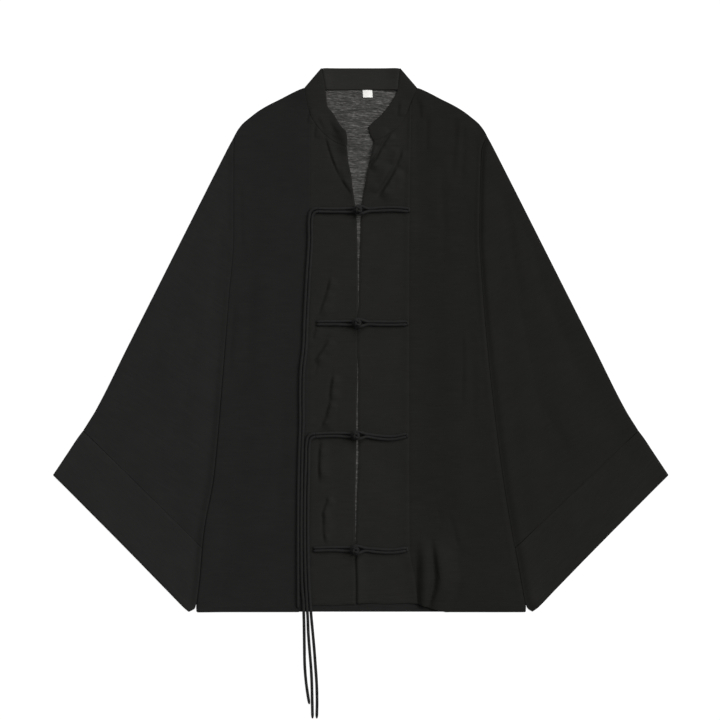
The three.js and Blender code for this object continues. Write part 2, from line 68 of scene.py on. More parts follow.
# Outline and seams, as places (out from the centre line, up from the hem), each from the top down
SHOULDER = [
    (79.2, 733.3), (83.5, 731.9), (88, 730.0), (96, 726.3), (113, 717.5), (130, 709), (144, 700.5),
    (155, 692), (165, 683.5), (172, 674.5), (176.8, 666),
]
SLEEVE_FOLD = [
    (177.8, 664.8), (183.4, 654.5), (193.4, 635), (237.9, 547), (282.2, 459), (326.6, 371),
    (371.4, 282), (383.4, 262.5), (388.8, 254),
]
CUFF_FOLD = [(388.8, 254), (397, 243), (410, 223.3), (431, 191.8)]
CUFF_CORNER = (240.2, 0.3)
CUFF_BULGE = [(0, 0.2), (3, 0.7), (9, 1.6), (20, 1.7), (44, 1.3), (72, 1.0), (100, 0.6), (160, 0.2), (290, 0)]
CUFF_SEAM_UP = 89.6
NOTCH_UP = 5.5
SLEEVE_SEAM = {
    "right": [
        (176.8, 666), (178, 643), (178.2, 526), (185, 439), (194, 324), (206, 190), (220, 111),
        (226, 44), (230, 5.5), (228.8, 0),
    ],
    "left": [
        (176.8, 666), (169, 643), (166.4, 526), (169.5, 470), (177.5, 372), (198, 198), (211, 117),
        (222, 60), (231, 5.5), (230, 0),
    ],
}
BAND_SEAM = {
    "right": [(70.3, 695), (71.8, 558), (73.2, 436), (73.2, 280), (70.3, 88), (68, 9)],
    "left": [(71, 713), (68.3, 558), (67.6, 436), (67.6, 254), (68.3, 88), (75, 51), (80, 12)],
}
FRONT_EDGE = {
    "right": [
        (19.7, 650.3), (17.6, 630), (13.7, 612), (12, 596), (9.4, 579), (6.4, 555), (5.5, 535), (5.0, 515),
        (4.5, 485), (4.3, 460), (4.2, 430), (5.3, 404), (5.2, 370), (5.0, 335), (5.4, 313), (6.2, 282),
        (6.5, 250), (6.6, 225), (7.3, 195), (8.2, 155), (8.2, 120), (8.4, 98), (8.1, 70), (7.2, 40),
        (7.2, 10.5),
    ],
    "left": [
        (18.3, 658.7), (16.4, 646), (12, 629), (8.5, 612), (6, 596), (2.8, 579), (0.6, 555), (0.1, 535),
        (-0.2, 515), (-1.5, 485), (-1.8, 460), (-2.4, 430), (-4.9, 404), (-4.7, 370), (-2.8, 335),
        (-2.9, 313), (-3.3, 282), (-3.0, 250), (-2.6, 225), (-3.2, 195), (-4.7, 155), (-5.6, 120),
        (-6.7, 98), (-7.8, 70), (-6.9, 40), (-6.9, 12),
    ],
}
NECK_SEAM = {
    "right": [(79.2, 733.3), (76, 716), (70.3, 695), (62, 681), (49.3, 667), (35.3, 657.3), (19.7, 650.3)],
    "left": [(79.2, 733.3), (71, 713), (57, 684), (45.8, 672.7), (31.8, 664.3), (18.3, 658.7)],
}
COLLAR_TOP = {
    "right": [(55.5, 761), (49.3, 730), (47, 709), (39.5, 699.3), (28.3, 680.4), (20.4, 672.7)],
    "left": [(55.5, 761), (50.9, 730), (30.7, 698), (21.5, 689.5), (10.4, 679.3)],
}
BACK_NECK_UP = 735.0
HEM = {
    "right": {"seam": (228.8, 0), "level": (88, 0), "band": (68, 9), "edge": (7.2, 10.5)},
    "left": {"seam": (230, 0), "level": (119, 0), "band": (80, 12), "edge": (-6.9, 12)},
}
SIDES = {"right": -1, "left": 1}

# Largest folds: (x, up) of both ends, half the width, height
FOLDS = [
    ((-20, 640), (-12, 588), 9, 1.4),
    ((19, 640), (10, 596), 9, 1.6),
    ((-20, 676), (-17, 652), 12, 4.6),
    ((-128, 560), (-148, 120), 24, 1.0),
    ((112, 600), (138, 150), 24, 1.2),
    ((-200, 580), (-290, 240), 30, 1.3),
    ((200, 560), (300, 260), 30, 1.3),
    ((-215, 470), (-240, 150), 18, 1.0),
    ((210, 440), (250, 130), 18, 1.1),
]
# How far beside their folds the sleeves and the collar stand up, and how high
SLEEVE_PUFF = (20, 1.2)
COLLAR_PUFF = (20, 2.9)
BAND_RIDGE = {"right": 0, "left": 1.3}

# Creases: (x, up) of both ends, sideways bow, half the trough's width, its depth, and the height of the soft
# lip along its left side as seen from the first end
CREASES = [
    ((-44, 470), (-60.5, 416), 1.5, 2.4, 1.0, 2.6),
    ((-60, 408), (-68, 381), -1.0, 1.9, 0.8, 1.3),
    ((-46, 385), (-68, 351), 1.5, 2.6, 1.0, 2.5),
    ((-39.5, 334), (-44.5, 292), -1.5, 2.5, 1.0, 2.5),
    ((-44, 300), (-57.5, 257), 1.5, 2.7, 1.0, 2.5),
    ((-57.5, 243), (-59, 180), -1.5, 2.4, 1.0, 2.6),
    ((-47.5, 163), (-57, 134), 1.0, 2.2, 0.9, 2.0),
    ((-53, 141), (-51.4, 95), -1.5, 2.2, 0.9, 2.0),
    ((-60, 352), (-66, 330), 0.5, 1.5, 0.4, 0.3),
    ((-32, 300), (-36, 268), 1.0, 2.6, 0.3, 0.3),
    ((-51, 668), (-28, 604), -2.0, 1.7, 0.8, 1.8),
    ((-29, 606), (-14.5, 584), 0.6, 1.7, 0.8, 1.3),
    ((-36, 640), (-22, 590), 0.5, 2.2, 0.35, 0.4),
    ((43, 672), (28, 648), -1.5, 2.3, 0.8, 1.8),
    ((28, 648), (43, 672), 1.5, 2.3, 0.5, 1.8),
    ((28, 653), (9.5, 623), 2.8, 2.4, 1.0, 3.1),
    ((9.5, 623), (28, 653), -2.8, 2.4, 0.8, 2.6),
    ((57, 648), (48, 624), 0.6, 2.6, 0.6, 1.4),
    ((48, 624), (57, 648), -0.6, 2.6, 0.5, 1.2),
    ((49, 625), (22.5, 582), 0.8, 3.1, 1.0, 3.6),
    ((22.5, 582), (49, 625), -0.8, 3.1, 0.8, 2.9),
    ((106, 148), (112, 122), 0.5, 2.5, 0.35, 0.2),
    ((122, 138), (135, 96), 1.0, 3.0, 0.4, 0.4),
    ((128, 108), (140, 84), 0.6, 3.0, 0.3, 0.3),
    ((-72, 706), (-77, 684), 0.6, 2.2, 0.5, 1.0),
    ((-64, 684), (-67, 664), 0.6, 2.2, 0.5, 1.1),
    ((-62, 694), (-50, 672), -1.0, 2.4, 0.4, 0.6),
    ((53, 716), (50, 694), 0.6, 2.4, 0.5, 0.9),
    ((81, 716), (83, 690), 0.6, 2.6, 0.5, 0.9),
    ((92, 700), (90, 640), 1.0, 3.4, 0.4, 0.7),
    ((-46, 690), (-30, 664), -1.5, 3.4, 0.6, 0.8),
    ((-44, 668), (-24, 657), -1.0, 3.4, 0.6, 0.9),
    ((133, 702), (126, 610), 1.0, 4.0, 0.4, 0.8),
    ((144, 690), (140, 600), 1.0, 4.0, 0.4, 0.7),
    ((110, 640), (116, 470), 2.0, 6.0, 0.45, 0.5),
    ((150, 420), (156, 250), 2.0, 6.0, 0.4, 0.5),
    ((142, 398), (141, 282), 1.0, 3.0, 0.35, 0.6),
    ((-150, 500), (-158, 330), -2.0, 8.0, 0.4, 0.4),
    ((-110, 300), (-118, 120), 2.0, 8.0, 0.4, 0.4),
    ((-176, 440), (-184, 330), -1.0, 3.6, 0.35, 0.6),
    ((-170, 600), (-168, 500), 1.0, 3.4, 0.3, 0.5),
    ((-196, 22), (-186, 52), 1.0, 3.0, 0.5, 0.5),
    ((-196, 560), (-214, 380), 3.0, 7.0, 0.5, 0.6),
    ((-236, 500), (-300, 330), 3.0, 9.0, 0.4, 0.6),
    ((200, 600), (226, 430), -3.0, 7.0, 0.5, 0.6),
    ((238, 500), (318, 310), -3.0, 9.0, 0.45, 0.6),
    ((250, 300), (300, 210), -3.0, 8.0, 0.4, 0.4),
    ((-250, 290), (-290, 200), 3.0, 8.0, 0.4, 0.4),
]

# Tuck in the wearer's left front at the hem: for each "up", the x of its first trough, ridge, second trough
# and second ridge, and how high it stands
TUCK = [
    (106, 82.6, 91.0, 100.0, 106, 0.0),
    (92, 82.9, 91.8, 101.0, 108, 2.8),
    (79, 83.2, 92.6, 102.5, 110, 6.0),
    (62, 83.6, 93.0, 104.8, 112, 8.0),
    (48, 83.9, 93.0, 105.9, 113, 8.3),
    (32, 84.2, 92.6, 103.3, 111.2, 8.4),
    (20, 84.6, 91.8, 99.0, 107, 7.4),
    (10, 85.2, 91.0, 96.0, 104, 5.2),
    (0, 86.0, 90.4, 94.0, 101.5, 3.0),
]

# Frog closures from the top one down: the knot's x and up, the ends of its cords on each side, and their sag
FROGS = [
    {"x": -3.2, "up": 562.5, "right": -59.5, "left": 67, "sag": -1.5},
    {"x": -4.5, "up": 404.5, "right": -62, "left": 65, "sag": 0.5},
    {"x": -6.5, "up": 247.5, "right": -63.1, "left": 64, "sag": 3.5},
    {"x": -7.5, "up": 88, "right": -66.5, "left": 64, "sag": 2.5},
]

# Free cord tails, as places in metres (x from the centre line, up from the hem)
TAILS = {
    "cord_tail_1": [
        (-0.0600, 0.5646), (-0.0623, 0.5646), (-0.0659, 0.5638), (-0.0690, 0.5617), (-0.0711, 0.5585),
        (-0.0719, 0.5547), (-0.0728, 0.5200), (-0.0762, 0.4640), (-0.0788, 0.4150), (-0.0810, 0.3660),
        (-0.0842, 0.3380), (-0.0850, 0.3100), (-0.0849, 0.2610), (-0.0860, 0.2330), (-0.0872, 0.1840),
        (-0.0878, 0.1280), (-0.0879, 0.0720), (-0.0876, 0.0060),
    ],
    "cord_tail_2": [
        (-0.0600, 0.5604), (-0.0615, 0.5603), (-0.0634, 0.5596), (-0.0654, 0.5580), (-0.0670, 0.5556),
        (-0.0676, 0.5526), (-0.0684, 0.5200), (-0.0718, 0.4640), (-0.0744, 0.4150), (-0.0766, 0.3660),
        (-0.0796, 0.3380), (-0.0804, 0.3100), (-0.0804, 0.2610), (-0.0816, 0.2330), (-0.0826, 0.1840),
        (-0.0832, 0.1280), (-0.0830, 0.0720), (-0.0818, 0.0300), (-0.0804, 0.0160), (-0.0799, 0.0040),
        (-0.0796, -0.0080), (-0.0794, -0.0200), (-0.0790, -0.0450), (-0.0782, -0.0790),
        (-0.0768, -0.0960), (-0.0746, -0.1130), (-0.0720, -0.1290),
    ],
    "cord_tail_3": [
        (-0.0636, 0.2496), (-0.0664, 0.2496), (-0.0700, 0.2486), (-0.0728, 0.2466), (-0.0748, 0.2434),
        (-0.0756, 0.2396), (-0.0769, 0.2100), (-0.0778, 0.1840), (-0.0785, 0.1280), (-0.0780, 0.0720),
        (-0.0769, 0.0370), (-0.0756, 0.0160), (-0.0749, 0.0040), (-0.0742, -0.0080), (-0.0736, -0.0260),
        (-0.0716, -0.0540), (-0.0696, -0.0790), (-0.0687, -0.0960), (-0.0680, -0.1240), (-0.0675, -0.1490),
    ],
    "cord_tail_4": [
        (-0.0636, 0.2454), (-0.0651, 0.2453), (-0.0670, 0.2446), (-0.0690, 0.2430), (-0.0706, 0.2406),
        (-0.0712, 0.2376), (-0.0724, 0.2100), (-0.0730, 0.1840), (-0.0739, 0.1280), (-0.0734, 0.0720),
        (-0.0722, 0.0370), (-0.0708, 0.0160), (-0.0700, 0.0040), (-0.0691, -0.0080), (-0.0670, -0.0310),
        (-0.0650, -0.0540), (-0.0632, -0.0790), (-0.0620, -0.0960), (-0.0612, -0.1240), (-0.0616, -0.1490),
    ],
}
TAILED_FROGS = (1, 3)
TAIL_FALL = (3, -20)  # "up" where a tail leaves the hem and where it lies on the surface

# Cut of each sheet as seen, in metres: width and length
FLAT = {
    "back": (0.462, 0.731), "front": (0.166, 0.735), "front_band": (0.076, 0.702), "sleeve": (0.46, 0.60),
    "cuff": (0.60, 0.10), "collar": (0.40, 0.038), "size_label": (0.015, 0.0115),
}

# The photograph: 1.4 mm for each of its 720 pixels, seen straight from above
PHOTO_WIDTH = 1008.0
PHOTO_CENTRE = (-1.05, 352.8)


# Lines of the pattern
def smooth_line(points, pieces=20, round_bends=False):
    """A dense line through the points, without corners. It swings past no point, or keeps round bends."""
    points = np.array(points, float)
    steps = np.linalg.norm(np.diff(points, axis=0), axis=1)
    runs = np.diff(points, axis=0) / steps[:, None]
    if round_bends:
        slopes = np.gradient(points, np.concatenate([[0], np.cumsum(steps)]), axis=0)
    else:
        product = runs[:-1] * runs[1:]
        total = runs[:-1] + runs[1:]
        tame = np.where(product > 0, 2 * product / np.where(total == 0, 1, total), 0)
        slopes = np.concatenate([runs[:1], tame, runs[-1:]])
    t = np.linspace(0, 1, pieces + 1)[1:, None]
    line = [points[:1]]
    for i, step in enumerate(steps):
        line.append(
            (2 * t**3 - 3 * t**2 + 1) * points[i] + (t**3 - 2 * t**2 + t) * step * slopes[i]
            + (3 * t**2 - 2 * t**3) * points[i + 1] + (t**3 - t**2) * step * slopes[i + 1]
        )
    return np.concatenate(line)


def sided(points, side):
    return np.array(points, float) * (side, 1)


def at_share(line, parts):
    lengths = np.concatenate([[0], np.cumsum(np.linalg.norm(np.diff(line, axis=0), axis=1))])
    places = np.asarray(parts) * lengths[-1]
    return np.stack([np.interp(places, lengths, line[:, k]) for k in range(line.shape[1])], axis=-1)


def at_up(line, ups):
    ups = np.asarray(ups, float)
    return np.stack([np.interp(-ups, -line[:, 1], line[:, 0]), ups], axis=-1)


def way_down(line, top_up, bottom_up, parts):
    """Places on a line at those parts of the way down from one "up" to another."""
    return at_up(line, top_up + (bottom_up - top_up) * parts)


def seam_line(table, name):
    return smooth_line(sided(table[name], SIDES[name]))


def hem_places(name):
    return {key: sided(place, SIDES[name]) for key, place in HEM[name].items()}


def neck_part(name, on_panel):
    """The neck seam's stretch on the front panel, or its stretch on the front band."""
    line = smooth_line(NECK_SEAM[name])
    band_top = BAND_SEAM[name][0][1]
    kept = line[:, 1] >= band_top - 1e-6 if on_panel else line[:, 1] <= band_top + 1e-6
    return sided(line[kept], SIDES[name])


def line_length(line):
    return np.linalg.norm(np.diff(line, axis=0), axis=1).sum()


def shares(length, step, first=True, last=True):
    """Shares of a length, a step apart inside and closer where an edge is rolled."""
    near = np.array([0, 0.4, 0.9, 1.5, 2.2, 3.1, 4.2, 5.6])
    start = near if first else near[:1]
    end = near if last else near[:1]
    inner = np.arange(start[-1] + step, length - end[-1] - step / 2, step)
    return np.concatenate([start, inner, (length - end)[::-1]]) / length


def ease(share):
    return share * share * (3 - 2 * share)


def bell(distance, width):
    return np.exp(-((distance / width) ** 2))


# Relief of the laid cloth, all as functions of the place
def soft_noise(xy, size, seed):
    """Smooth random heights from -1 to 1, with bumps about size wide."""
    count = 64
    values = np.random.default_rng(seed).uniform(-1, 1, (count, count))
    grid = xy / size
    cell = np.floor(grid).astype(int)
    part = ease(grid - cell)

    def pick(i, j):
        return values[(cell[..., 0] + i) % count, (cell[..., 1] + j) % count]

    low = pick(0, 0) * (1 - part[..., 0]) + pick(1, 0) * part[..., 0]
    high = pick(0, 1) * (1 - part[..., 0]) + pick(1, 1) * part[..., 0]
    return low * (1 - part[..., 1]) + high * part[..., 1]


def beside(xy, line):
    """Signed distance to a line of points, and how far along it the nearest place is, from 0 to 1."""
    best = np.full(xy.shape[:-1], 1e9)
    signed = np.zeros_like(best)
    along = np.zeros_like(best)
    steps = len(line) - 1
    for i in range(steps):
        run = line[i + 1] - line[i]
        offset = xy - line[i]
        share = np.clip((offset @ run) / (run @ run), 0, 1)
        distance = np.linalg.norm(offset - share[..., None] * run, axis=-1)
        nearer = distance < best
        side = np.sign(run[0] * offset[..., 1] - run[1] * offset[..., 0])
        best = np.where(nearer, distance, best)
        signed = np.where(nearer, distance * side, signed)
        along = np.where(nearer, (i + share) / steps, along)
    return signed, along


def lift(xy):
    height = np.zeros(xy.shape[:-1])
    for start, end, half, rise in FOLDS:
        distance, _ = beside(xy, np.array([start, end], float))
        height = np.maximum(height, rise * bell(distance, half))
    for side in SIDES.values():
        fold = sided([NECK_SEAM["right"][0], COLLAR_TOP["right"][0]], side)
        distance, _ = beside(xy, fold)
        height = np.maximum(height, COLLAR_PUFF[1] * bell(distance, COLLAR_PUFF[0]))
    return height


def bowed(start, end, bow, count=9):
    start, end = np.array(start, float), np.array(end, float)
    run = end - start
    aside = np.array([-run[1], run[0]]) / np.linalg.norm(run)
    t = np.linspace(0, 1, count)[:, None]
    return start + t * run + aside * bow * np.sin(math.pi * t)


def crease_height(xy):
    height = np.zeros(xy.shape[:-1])
    uneven = 1 + 0.35 * soft_noise(xy, 8, 6)
    for start, end, bow, half, depth, lip in CREASES:
        signed, along = beside(xy, bowed(start, end, bow))
        fade = np.clip(np.sin(math.pi * np.clip(along, 0.02, 0.98)) * 1.6, 0, 1)
        trough = -depth * bell(signed, half)
        beyond = signed - 1.9 * half
        slope = np.where(beyond < 0, 1.15 * half, 3.6 * half)
        height += fade * uneven * (trough + lip * bell(beyond, slope))
    return height


def tuck_height(xy):
    table = np.array(TUCK, float)[::-1]
    x, up = xy[..., 0], xy[..., 1]
    first, ridge, second, last, rise = (np.interp(up, table[:, 0], table[:, k]) for k in range(1, 6))
    rise = np.where(up > TUCK[0][0], 0, rise)
    up_first = np.clip((x - first + 6.5) / (ridge - first + 2.5), 0, 1)
    up_last = np.clip((x - second + 2.5) / (last - second + 1), 0, 1)
    down = np.clip((x - ridge) / (second - ridge), 0, 1)
    down_last = np.clip((x - last) / 28, 0, 1)
    shape = ease(up_first) - 0.85 * ease(down) + 0.9 * ease(up_last) - 1.05 * ease(down_last)
    return rise * np.where(x < first - 6.5, 0, shape)


def laid_height(xy):
    """Height of the front layer above its flat level."""
    uneven = 0.34 * soft_noise(xy, 62, 3) + 0.15 * soft_noise(xy, 21, 4) + 0.035 * soft_noise(xy, 7, 5)
    height = lift(xy) + crease_height(xy) + tuck_height(xy) + uneven
    height = pressed_by_cords(xy, height)
    return 0.25 * np.logaddexp(0, (height + 0.8) / 0.25) - 0.8


def pressed_by_cords(xy, height):
    """Keeps the cloth below the cords that lie on it."""
    nearest = np.full(xy.shape[:-1], 1e9)
    for line in CORD_LINES:
        box = (line.min(0) - 12, line.max(0) + 12)
        near = np.all((xy > box[0]) & (xy < box[1]), axis=-1)
        if near.any():
            distance, _ = beside(xy[near], line)
            nearest[near] = np.minimum(nearest[near], np.abs(distance))
    room = 0.12 + 0.3 * np.maximum(0, nearest - 2.2)
    return np.minimum(height, room)


def pair_line(frog, strand):
    """Middle line of one cord of a frog's pair at the wearer's right, from the knot."""
    level = frog["up"] + strand * PAIR_HALF
    middle = (frog["x"] + frog["right"]) / 2
    return [
        (frog["x"], frog["up"] + 0.4 * strand, CORD_LEVEL),
        (frog["x"] - 6, level, CORD_LEVEL),
        (middle, level + 0.3 * frog["sag"], CORD_LEVEL),
        (frog["right"], level, CORD_LEVEL),
    ]


def loop_line(frog):
    """Middle line of a frog's loop, from one end at the wearer's left round the knot's neck to the other."""
    eye = STEM_RADIUS + 0.6 + CORD_RADIUS

    def arm(strand):
        level = frog["up"] + strand * PAIR_HALF
        return [
            (frog["left"], level, CORD_LEVEL),
            (frog["left"] - 18, level - frog["sag"], CORD_LEVEL),
            (frog["x"] + 27, level - 0.6 * frog["sag"], CORD_LEVEL),
            (frog["x"] + 13, level, CORD_LEVEL + 0.6),
            (frog["x"] + 5, frog["up"] + strand * (eye - 0.6), CROSSING_LEVEL - 0.3),
        ]

    bight = []
    for angle in (70, 35, 0, -35, -70):
        turned = math.radians(angle)
        place = (frog["x"] - eye * math.cos(turned), frog["up"] + eye * math.sin(turned))
        bight.append((*place, CROSSING_LEVEL))
    return arm(1) + bight + arm(-1)[::-1]


def tail_line(name):
    places = np.array(TAILS[name]) / MM
    fall = np.clip((TAIL_FALL[0] - places[:, 1]) / (TAIL_FALL[0] - TAIL_FALL[1]), 0, 1)
    heights = CORD_LEVEL * (1 - ease(fall)) + (TAIL_RADIUS + 0.04) * ease(fall)
    return np.column_stack([places, heights])


CORD_LINES = [np.array(pair_line(frog, strand))[:, :2] for frog in FROGS for strand in (1, -1)]
CORD_LINES += [np.array(loop_line(frog))[:, :2] for frog in FROGS]
CORD_LINES += [tail_line(name)[:, :2] for name in TAILS]


# Materials
WAVE_PERIOD = 0.314  # of a wave texture at scale 1


def add_node(tree, kind, inputs=None, **settings):
    node = tree.nodes.new(kind)
    for key, value in settings.items():
        setattr(node, key, value)
    for key, value in (inputs or {}).items():
        if isinstance(value, bpy.types.NodeSocket):
            tree.links.new(value, node.inputs[key])
        else:
            node.inputs[key].default_value = value
    return node


def scaled_place(tree, scale, turn):
    place = add_node(tree, "ShaderNodeTexCoord").outputs["Object"]
    inputs = {"Vector": place, "Scale": scale, "Rotation": (0, 0, turn)}
    return add_node(tree, "ShaderNodeMapping", inputs, vector_type="TEXTURE").outputs["Vector"]


def spread(tree, value, low, high):
    inputs = {"Value": value, "From Min": low, "From Max": high, "To Min": 0.0, "To Max": 1.0}
    return add_node(tree, "ShaderNodeMapRange", inputs, clamp=True).outputs["Result"]


def combine(tree, operation, first, second):
    node = add_node(tree, "ShaderNodeMath", operation=operation)
    for socket, value in zip(node.inputs, (first, second)):
        if isinstance(value, bpy.types.NodeSocket):
            tree.links.new(value, socket)
        else:
            socket.default_value = value
    return node.outputs[0]


def slubs(tree, length, height, turn=0.0, detail=2.0):
    """Thick places in the yarns, as streaks of about that length and height in metres."""
    place = scaled_place(tree, (length, height, length), turn)
    inputs = {"Vector": place, "Scale": 1.0, "Detail": detail, "Roughness": 0.6}
    return add_node(tree, "ShaderNodeTexNoise", inputs).outputs["Fac"]


def woven(tree, pitch, turn=0.0):
    """Plain weave: yarns over and under each other at that pitch in metres."""
    place = scaled_place(tree, (pitch, pitch, pitch), turn)
    inputs = {"Vector": place, "Scale": WAVE_PERIOD / 2, "Distortion": 0.6, "Detail": 1.0}
    waves = []
    for direction in "XY":
        settings = {"wave_type": "BANDS", "bands_direction": direction, "wave_profile": "SIN"}
        waves.append(add_node(tree, "ShaderNodeTexWave", inputs, **settings).outputs["Fac"])
    return combine(tree, "MULTIPLY", *waves)


def weighted(tree, *terms):
    """Sum of values, each given with its weight."""
    parts = [combine(tree, "MULTIPLY", value, weight) if weight != 1 else value for value, weight in terms]
    total = parts[0]
    for part in parts[1:]:
        total = combine(tree, "ADD", total, part)
    return total


def new_material(name, **settings):
    material = bpy.data.materials.new(name)
    material.use_nodes = True
    tree = material.node_tree
    shader = tree.nodes["Principled BSDF"]
    for key, value in settings.items():
        shader.inputs[key.replace("_", " ")].default_value = value
    return material, tree, shader


def add_tones(tree, shader, tone, dark, light):
    colour = add_node(tree, "ShaderNodeMix", {"Factor": tone}, data_type="RGBA")
    colour.inputs[6].default_value = (*dark, 1)
    colour.inputs[7].default_value = (*light, 1)
    tree.links.new(colour.outputs[2], shader.inputs["Base Color"])


def add_relief(tree, shader, height, strength, distance):
    bump = add_node(tree, "ShaderNodeBump", {"Height": height, "Strength": strength, "Distance": distance})
    tree.links.new(bump.outputs["Normal"], shader.inputs["Normal"])


def cloth_material(name, dark, light, turn=0, weave=0.0008, warm=0.96, roughness=0.82):
    """Black slubbed cloth between two tones. turn is the angle of its yarns in degrees.
    warm is its blue beside its red, so less than 1 is a warmer black."""
    material, tree, shader = new_material(
        name, Roughness=roughness, Specular_IOR_Level=0.06, Sheen_Weight=0.012, Sheen_Roughness=0.45,
        Sheen_Tint=(0.75, 0.78, 0.85, 1),
    )
    turn = math.radians(turn)
    long_slubs = slubs(tree, 0.030, 0.0011, turn)
    short_slubs = slubs(tree, 0.006, 0.0008, turn)
    mottle = slubs(tree, 0.060, 0.050, turn, detail=3.0)
    yarns = woven(tree, weave, turn)
    streak = weighted(tree, (long_slubs, 0.65), (short_slubs, 0.35))
    tone = spread(tree, weighted(tree, (streak, 0.8), (mottle, 0.2)), 0.42, 0.72)
    tone = weighted(tree, (tone, 0.85), (yarns, 0.15))
    tint = np.array([1, 0.99, warm])
    add_tones(tree, shader, tone, dark * tint, light * tint)
    add_relief(tree, shader, weighted(tree, (yarns, 0.6), (streak, 1)), 0.35, 0.00025)
    return material


def inner_material():
    """Thin grey cloth with thick and thin yarns across it."""
    material, tree, shader = new_material("inner_face_of_back", Roughness=0.9, Specular_IOR_Level=0.1)
    turn = math.radians(-3)
    long_slubs = slubs(tree, 0.017, 0.0010, turn, detail=4.0)
    short_slubs = slubs(tree, 0.005, 0.0009, turn, detail=4.0)
    broad = slubs(tree, 0.040, 0.0075, turn, detail=2.0)
    yarns = woven(tree, 0.0008, turn)
    streak = weighted(tree, (long_slubs, 0.5), (short_slubs, 0.35), (broad, 0.15))
    tone = combine(tree, "POWER", spread(tree, streak, 0.43, 0.625), 1.9)
    tone = weighted(tree, (tone, 0.9), (yarns, 0.10))
    add_tones(tree, shader, tone, (0.0110, 0.0110, 0.0107), (0.102, 0.100, 0.095))
    add_relief(tree, shader, weighted(tree, (yarns, 0.4), (streak, 1)), 0.5, 0.0004)
    return material


def label_material():
    material, tree, shader = new_material("white_satin_tape", Roughness=0.45)
    tone = weighted(tree, (woven(tree, 0.0005), 0.4), (slubs(tree, 0.004, 0.0006), 0.6))
    add_tones(tree, shader, tone, (0.40, 0.395, 0.38), (0.50, 0.495, 0.48))
    add_relief(tree, shader, tone, 0.3, 0.0001)
    return material


MATERIALS = {
    "cloth": cloth_material("black_slub_cloth", 0.0046, 0.0077),
    # Painted shade: the wearer's left front is a darker copy of the black cloth, for the weaker light on that
    # side.
    "front_left": cloth_material("black_slub_cloth_front_left_painted_shade", 0.0040, 0.0069, warm=0.86),
    # Painted light and shade: the wearer's right sleeve is a lighter copy of the black cloth and the left
    # sleeve a darker one, for the light that falls stronger on the right.
    "sleeve_right": cloth_material("black_slub_cloth_sleeve_right_painted_light", 0.0056, 0.0094, turn=-30),
    "sleeve_left": cloth_material("black_slub_cloth_sleeve_left_painted_shade", 0.0042, 0.0070, turn=30, warm=0.86),
    # Painted sheen: the doubled bands and collar are a lighter copy of the black cloth, for the light on
    # their smoother face.
    "doubled": cloth_material("black_slub_cloth_doubled_painted_sheen", 0.0053, 0.0086, warm=0.90),
    # Painted light: both cuffs are lighter copies of the black cloth than their sleeves, for the sheen of the
    # doubled cloth, and the wearer's right cuff lighter still, for the stronger light on that side.
    "cuff_right": cloth_material("cuff_cloth_right", 0.0063, 0.0098, turn=-45),
    "cuff_left": cloth_material("cuff_cloth_left", 0.0046, 0.0077, turn=45, warm=0.88),
    # Painted highlight: the collar's inner face, which lies up on the stand, is a lighter copy of the black
    # cloth, for the light on its smooth stiffened face.
    "collar_inside_painted_highlight": cloth_material("collar_inner_face_painted_highlight", 0.0078, 0.0115, warm=0.88),
    "inside": inner_material(),
    "cord": cloth_material("cord_cloth", 0.0058, 0.0098, turn=40, weave=0.0006),
    "thread": cloth_material("sewing_thread", 0.0050, 0.0120, weave=0.0003, roughness=0.6),
    "label": label_material(),
}


# Meshes
def make_object(name, vertices, faces, materials, face_materials=None):
    mesh = bpy.data.meshes.new(name)
    placed = np.array(vertices, float) * MM
    placed[:, 1] -= JACKET_LENGTH / 2 * MM
    mesh.from_pydata(placed.tolist(), [], [list(face) for face in faces])
    for key in materials:
        mesh.materials.append(MATERIALS[key])
    if face_materials is not None:
        mesh.polygons.foreach_set("material_index", face_materials)
    mesh.polygons.foreach_set("use_smooth", [True] * len(mesh.polygons))
    mesh.update()
    obj = bpy.data.objects.new(name, mesh)
    bpy.context.scene.collection.objects.link(obj)
    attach(obj, "root")
    return obj


def strip(rings):
    """Quads between each ring of vertex numbers and the next."""
    quads = []
    for first, second in zip(rings, rings[1:]):
        quads.append(np.stack([first, np.roll(first, -1), np.roll(second, -1), second], axis=-1))
    return np.concatenate(quads)


def unit(vectors):
    return vectors / np.maximum(np.linalg.norm(vectors, axis=-1, keepdims=True), 1e-9)


def rim_rings(sheet, normals, border, half):
    """Rings of places round the border of a sheet, which make its edge round."""
    outward = np.zeros(sheet.shape)
    outward[0] += sheet[0] - sheet[1]
    outward[-1] += sheet[-1] - sheet[-2]
    outward = unit(outward)
    outward[:, 0] += unit(sheet[:, 0] - sheet[:, 1])
    outward[:, -1] += unit(sheet[:, -1] - sheet[:, -2])
    outward = unit(outward).reshape(-1, 3)[border]
    rim_normals = normals.reshape(-1, 3)[border]
    middle = sheet.reshape(-1, 3)[border]
    rings = []
    for angle in (50, 0, -50):
        turned = math.radians(angle)
        rings.append(middle + half * (math.cos(turned) * outward + math.sin(turned) * rim_normals))
    return rings


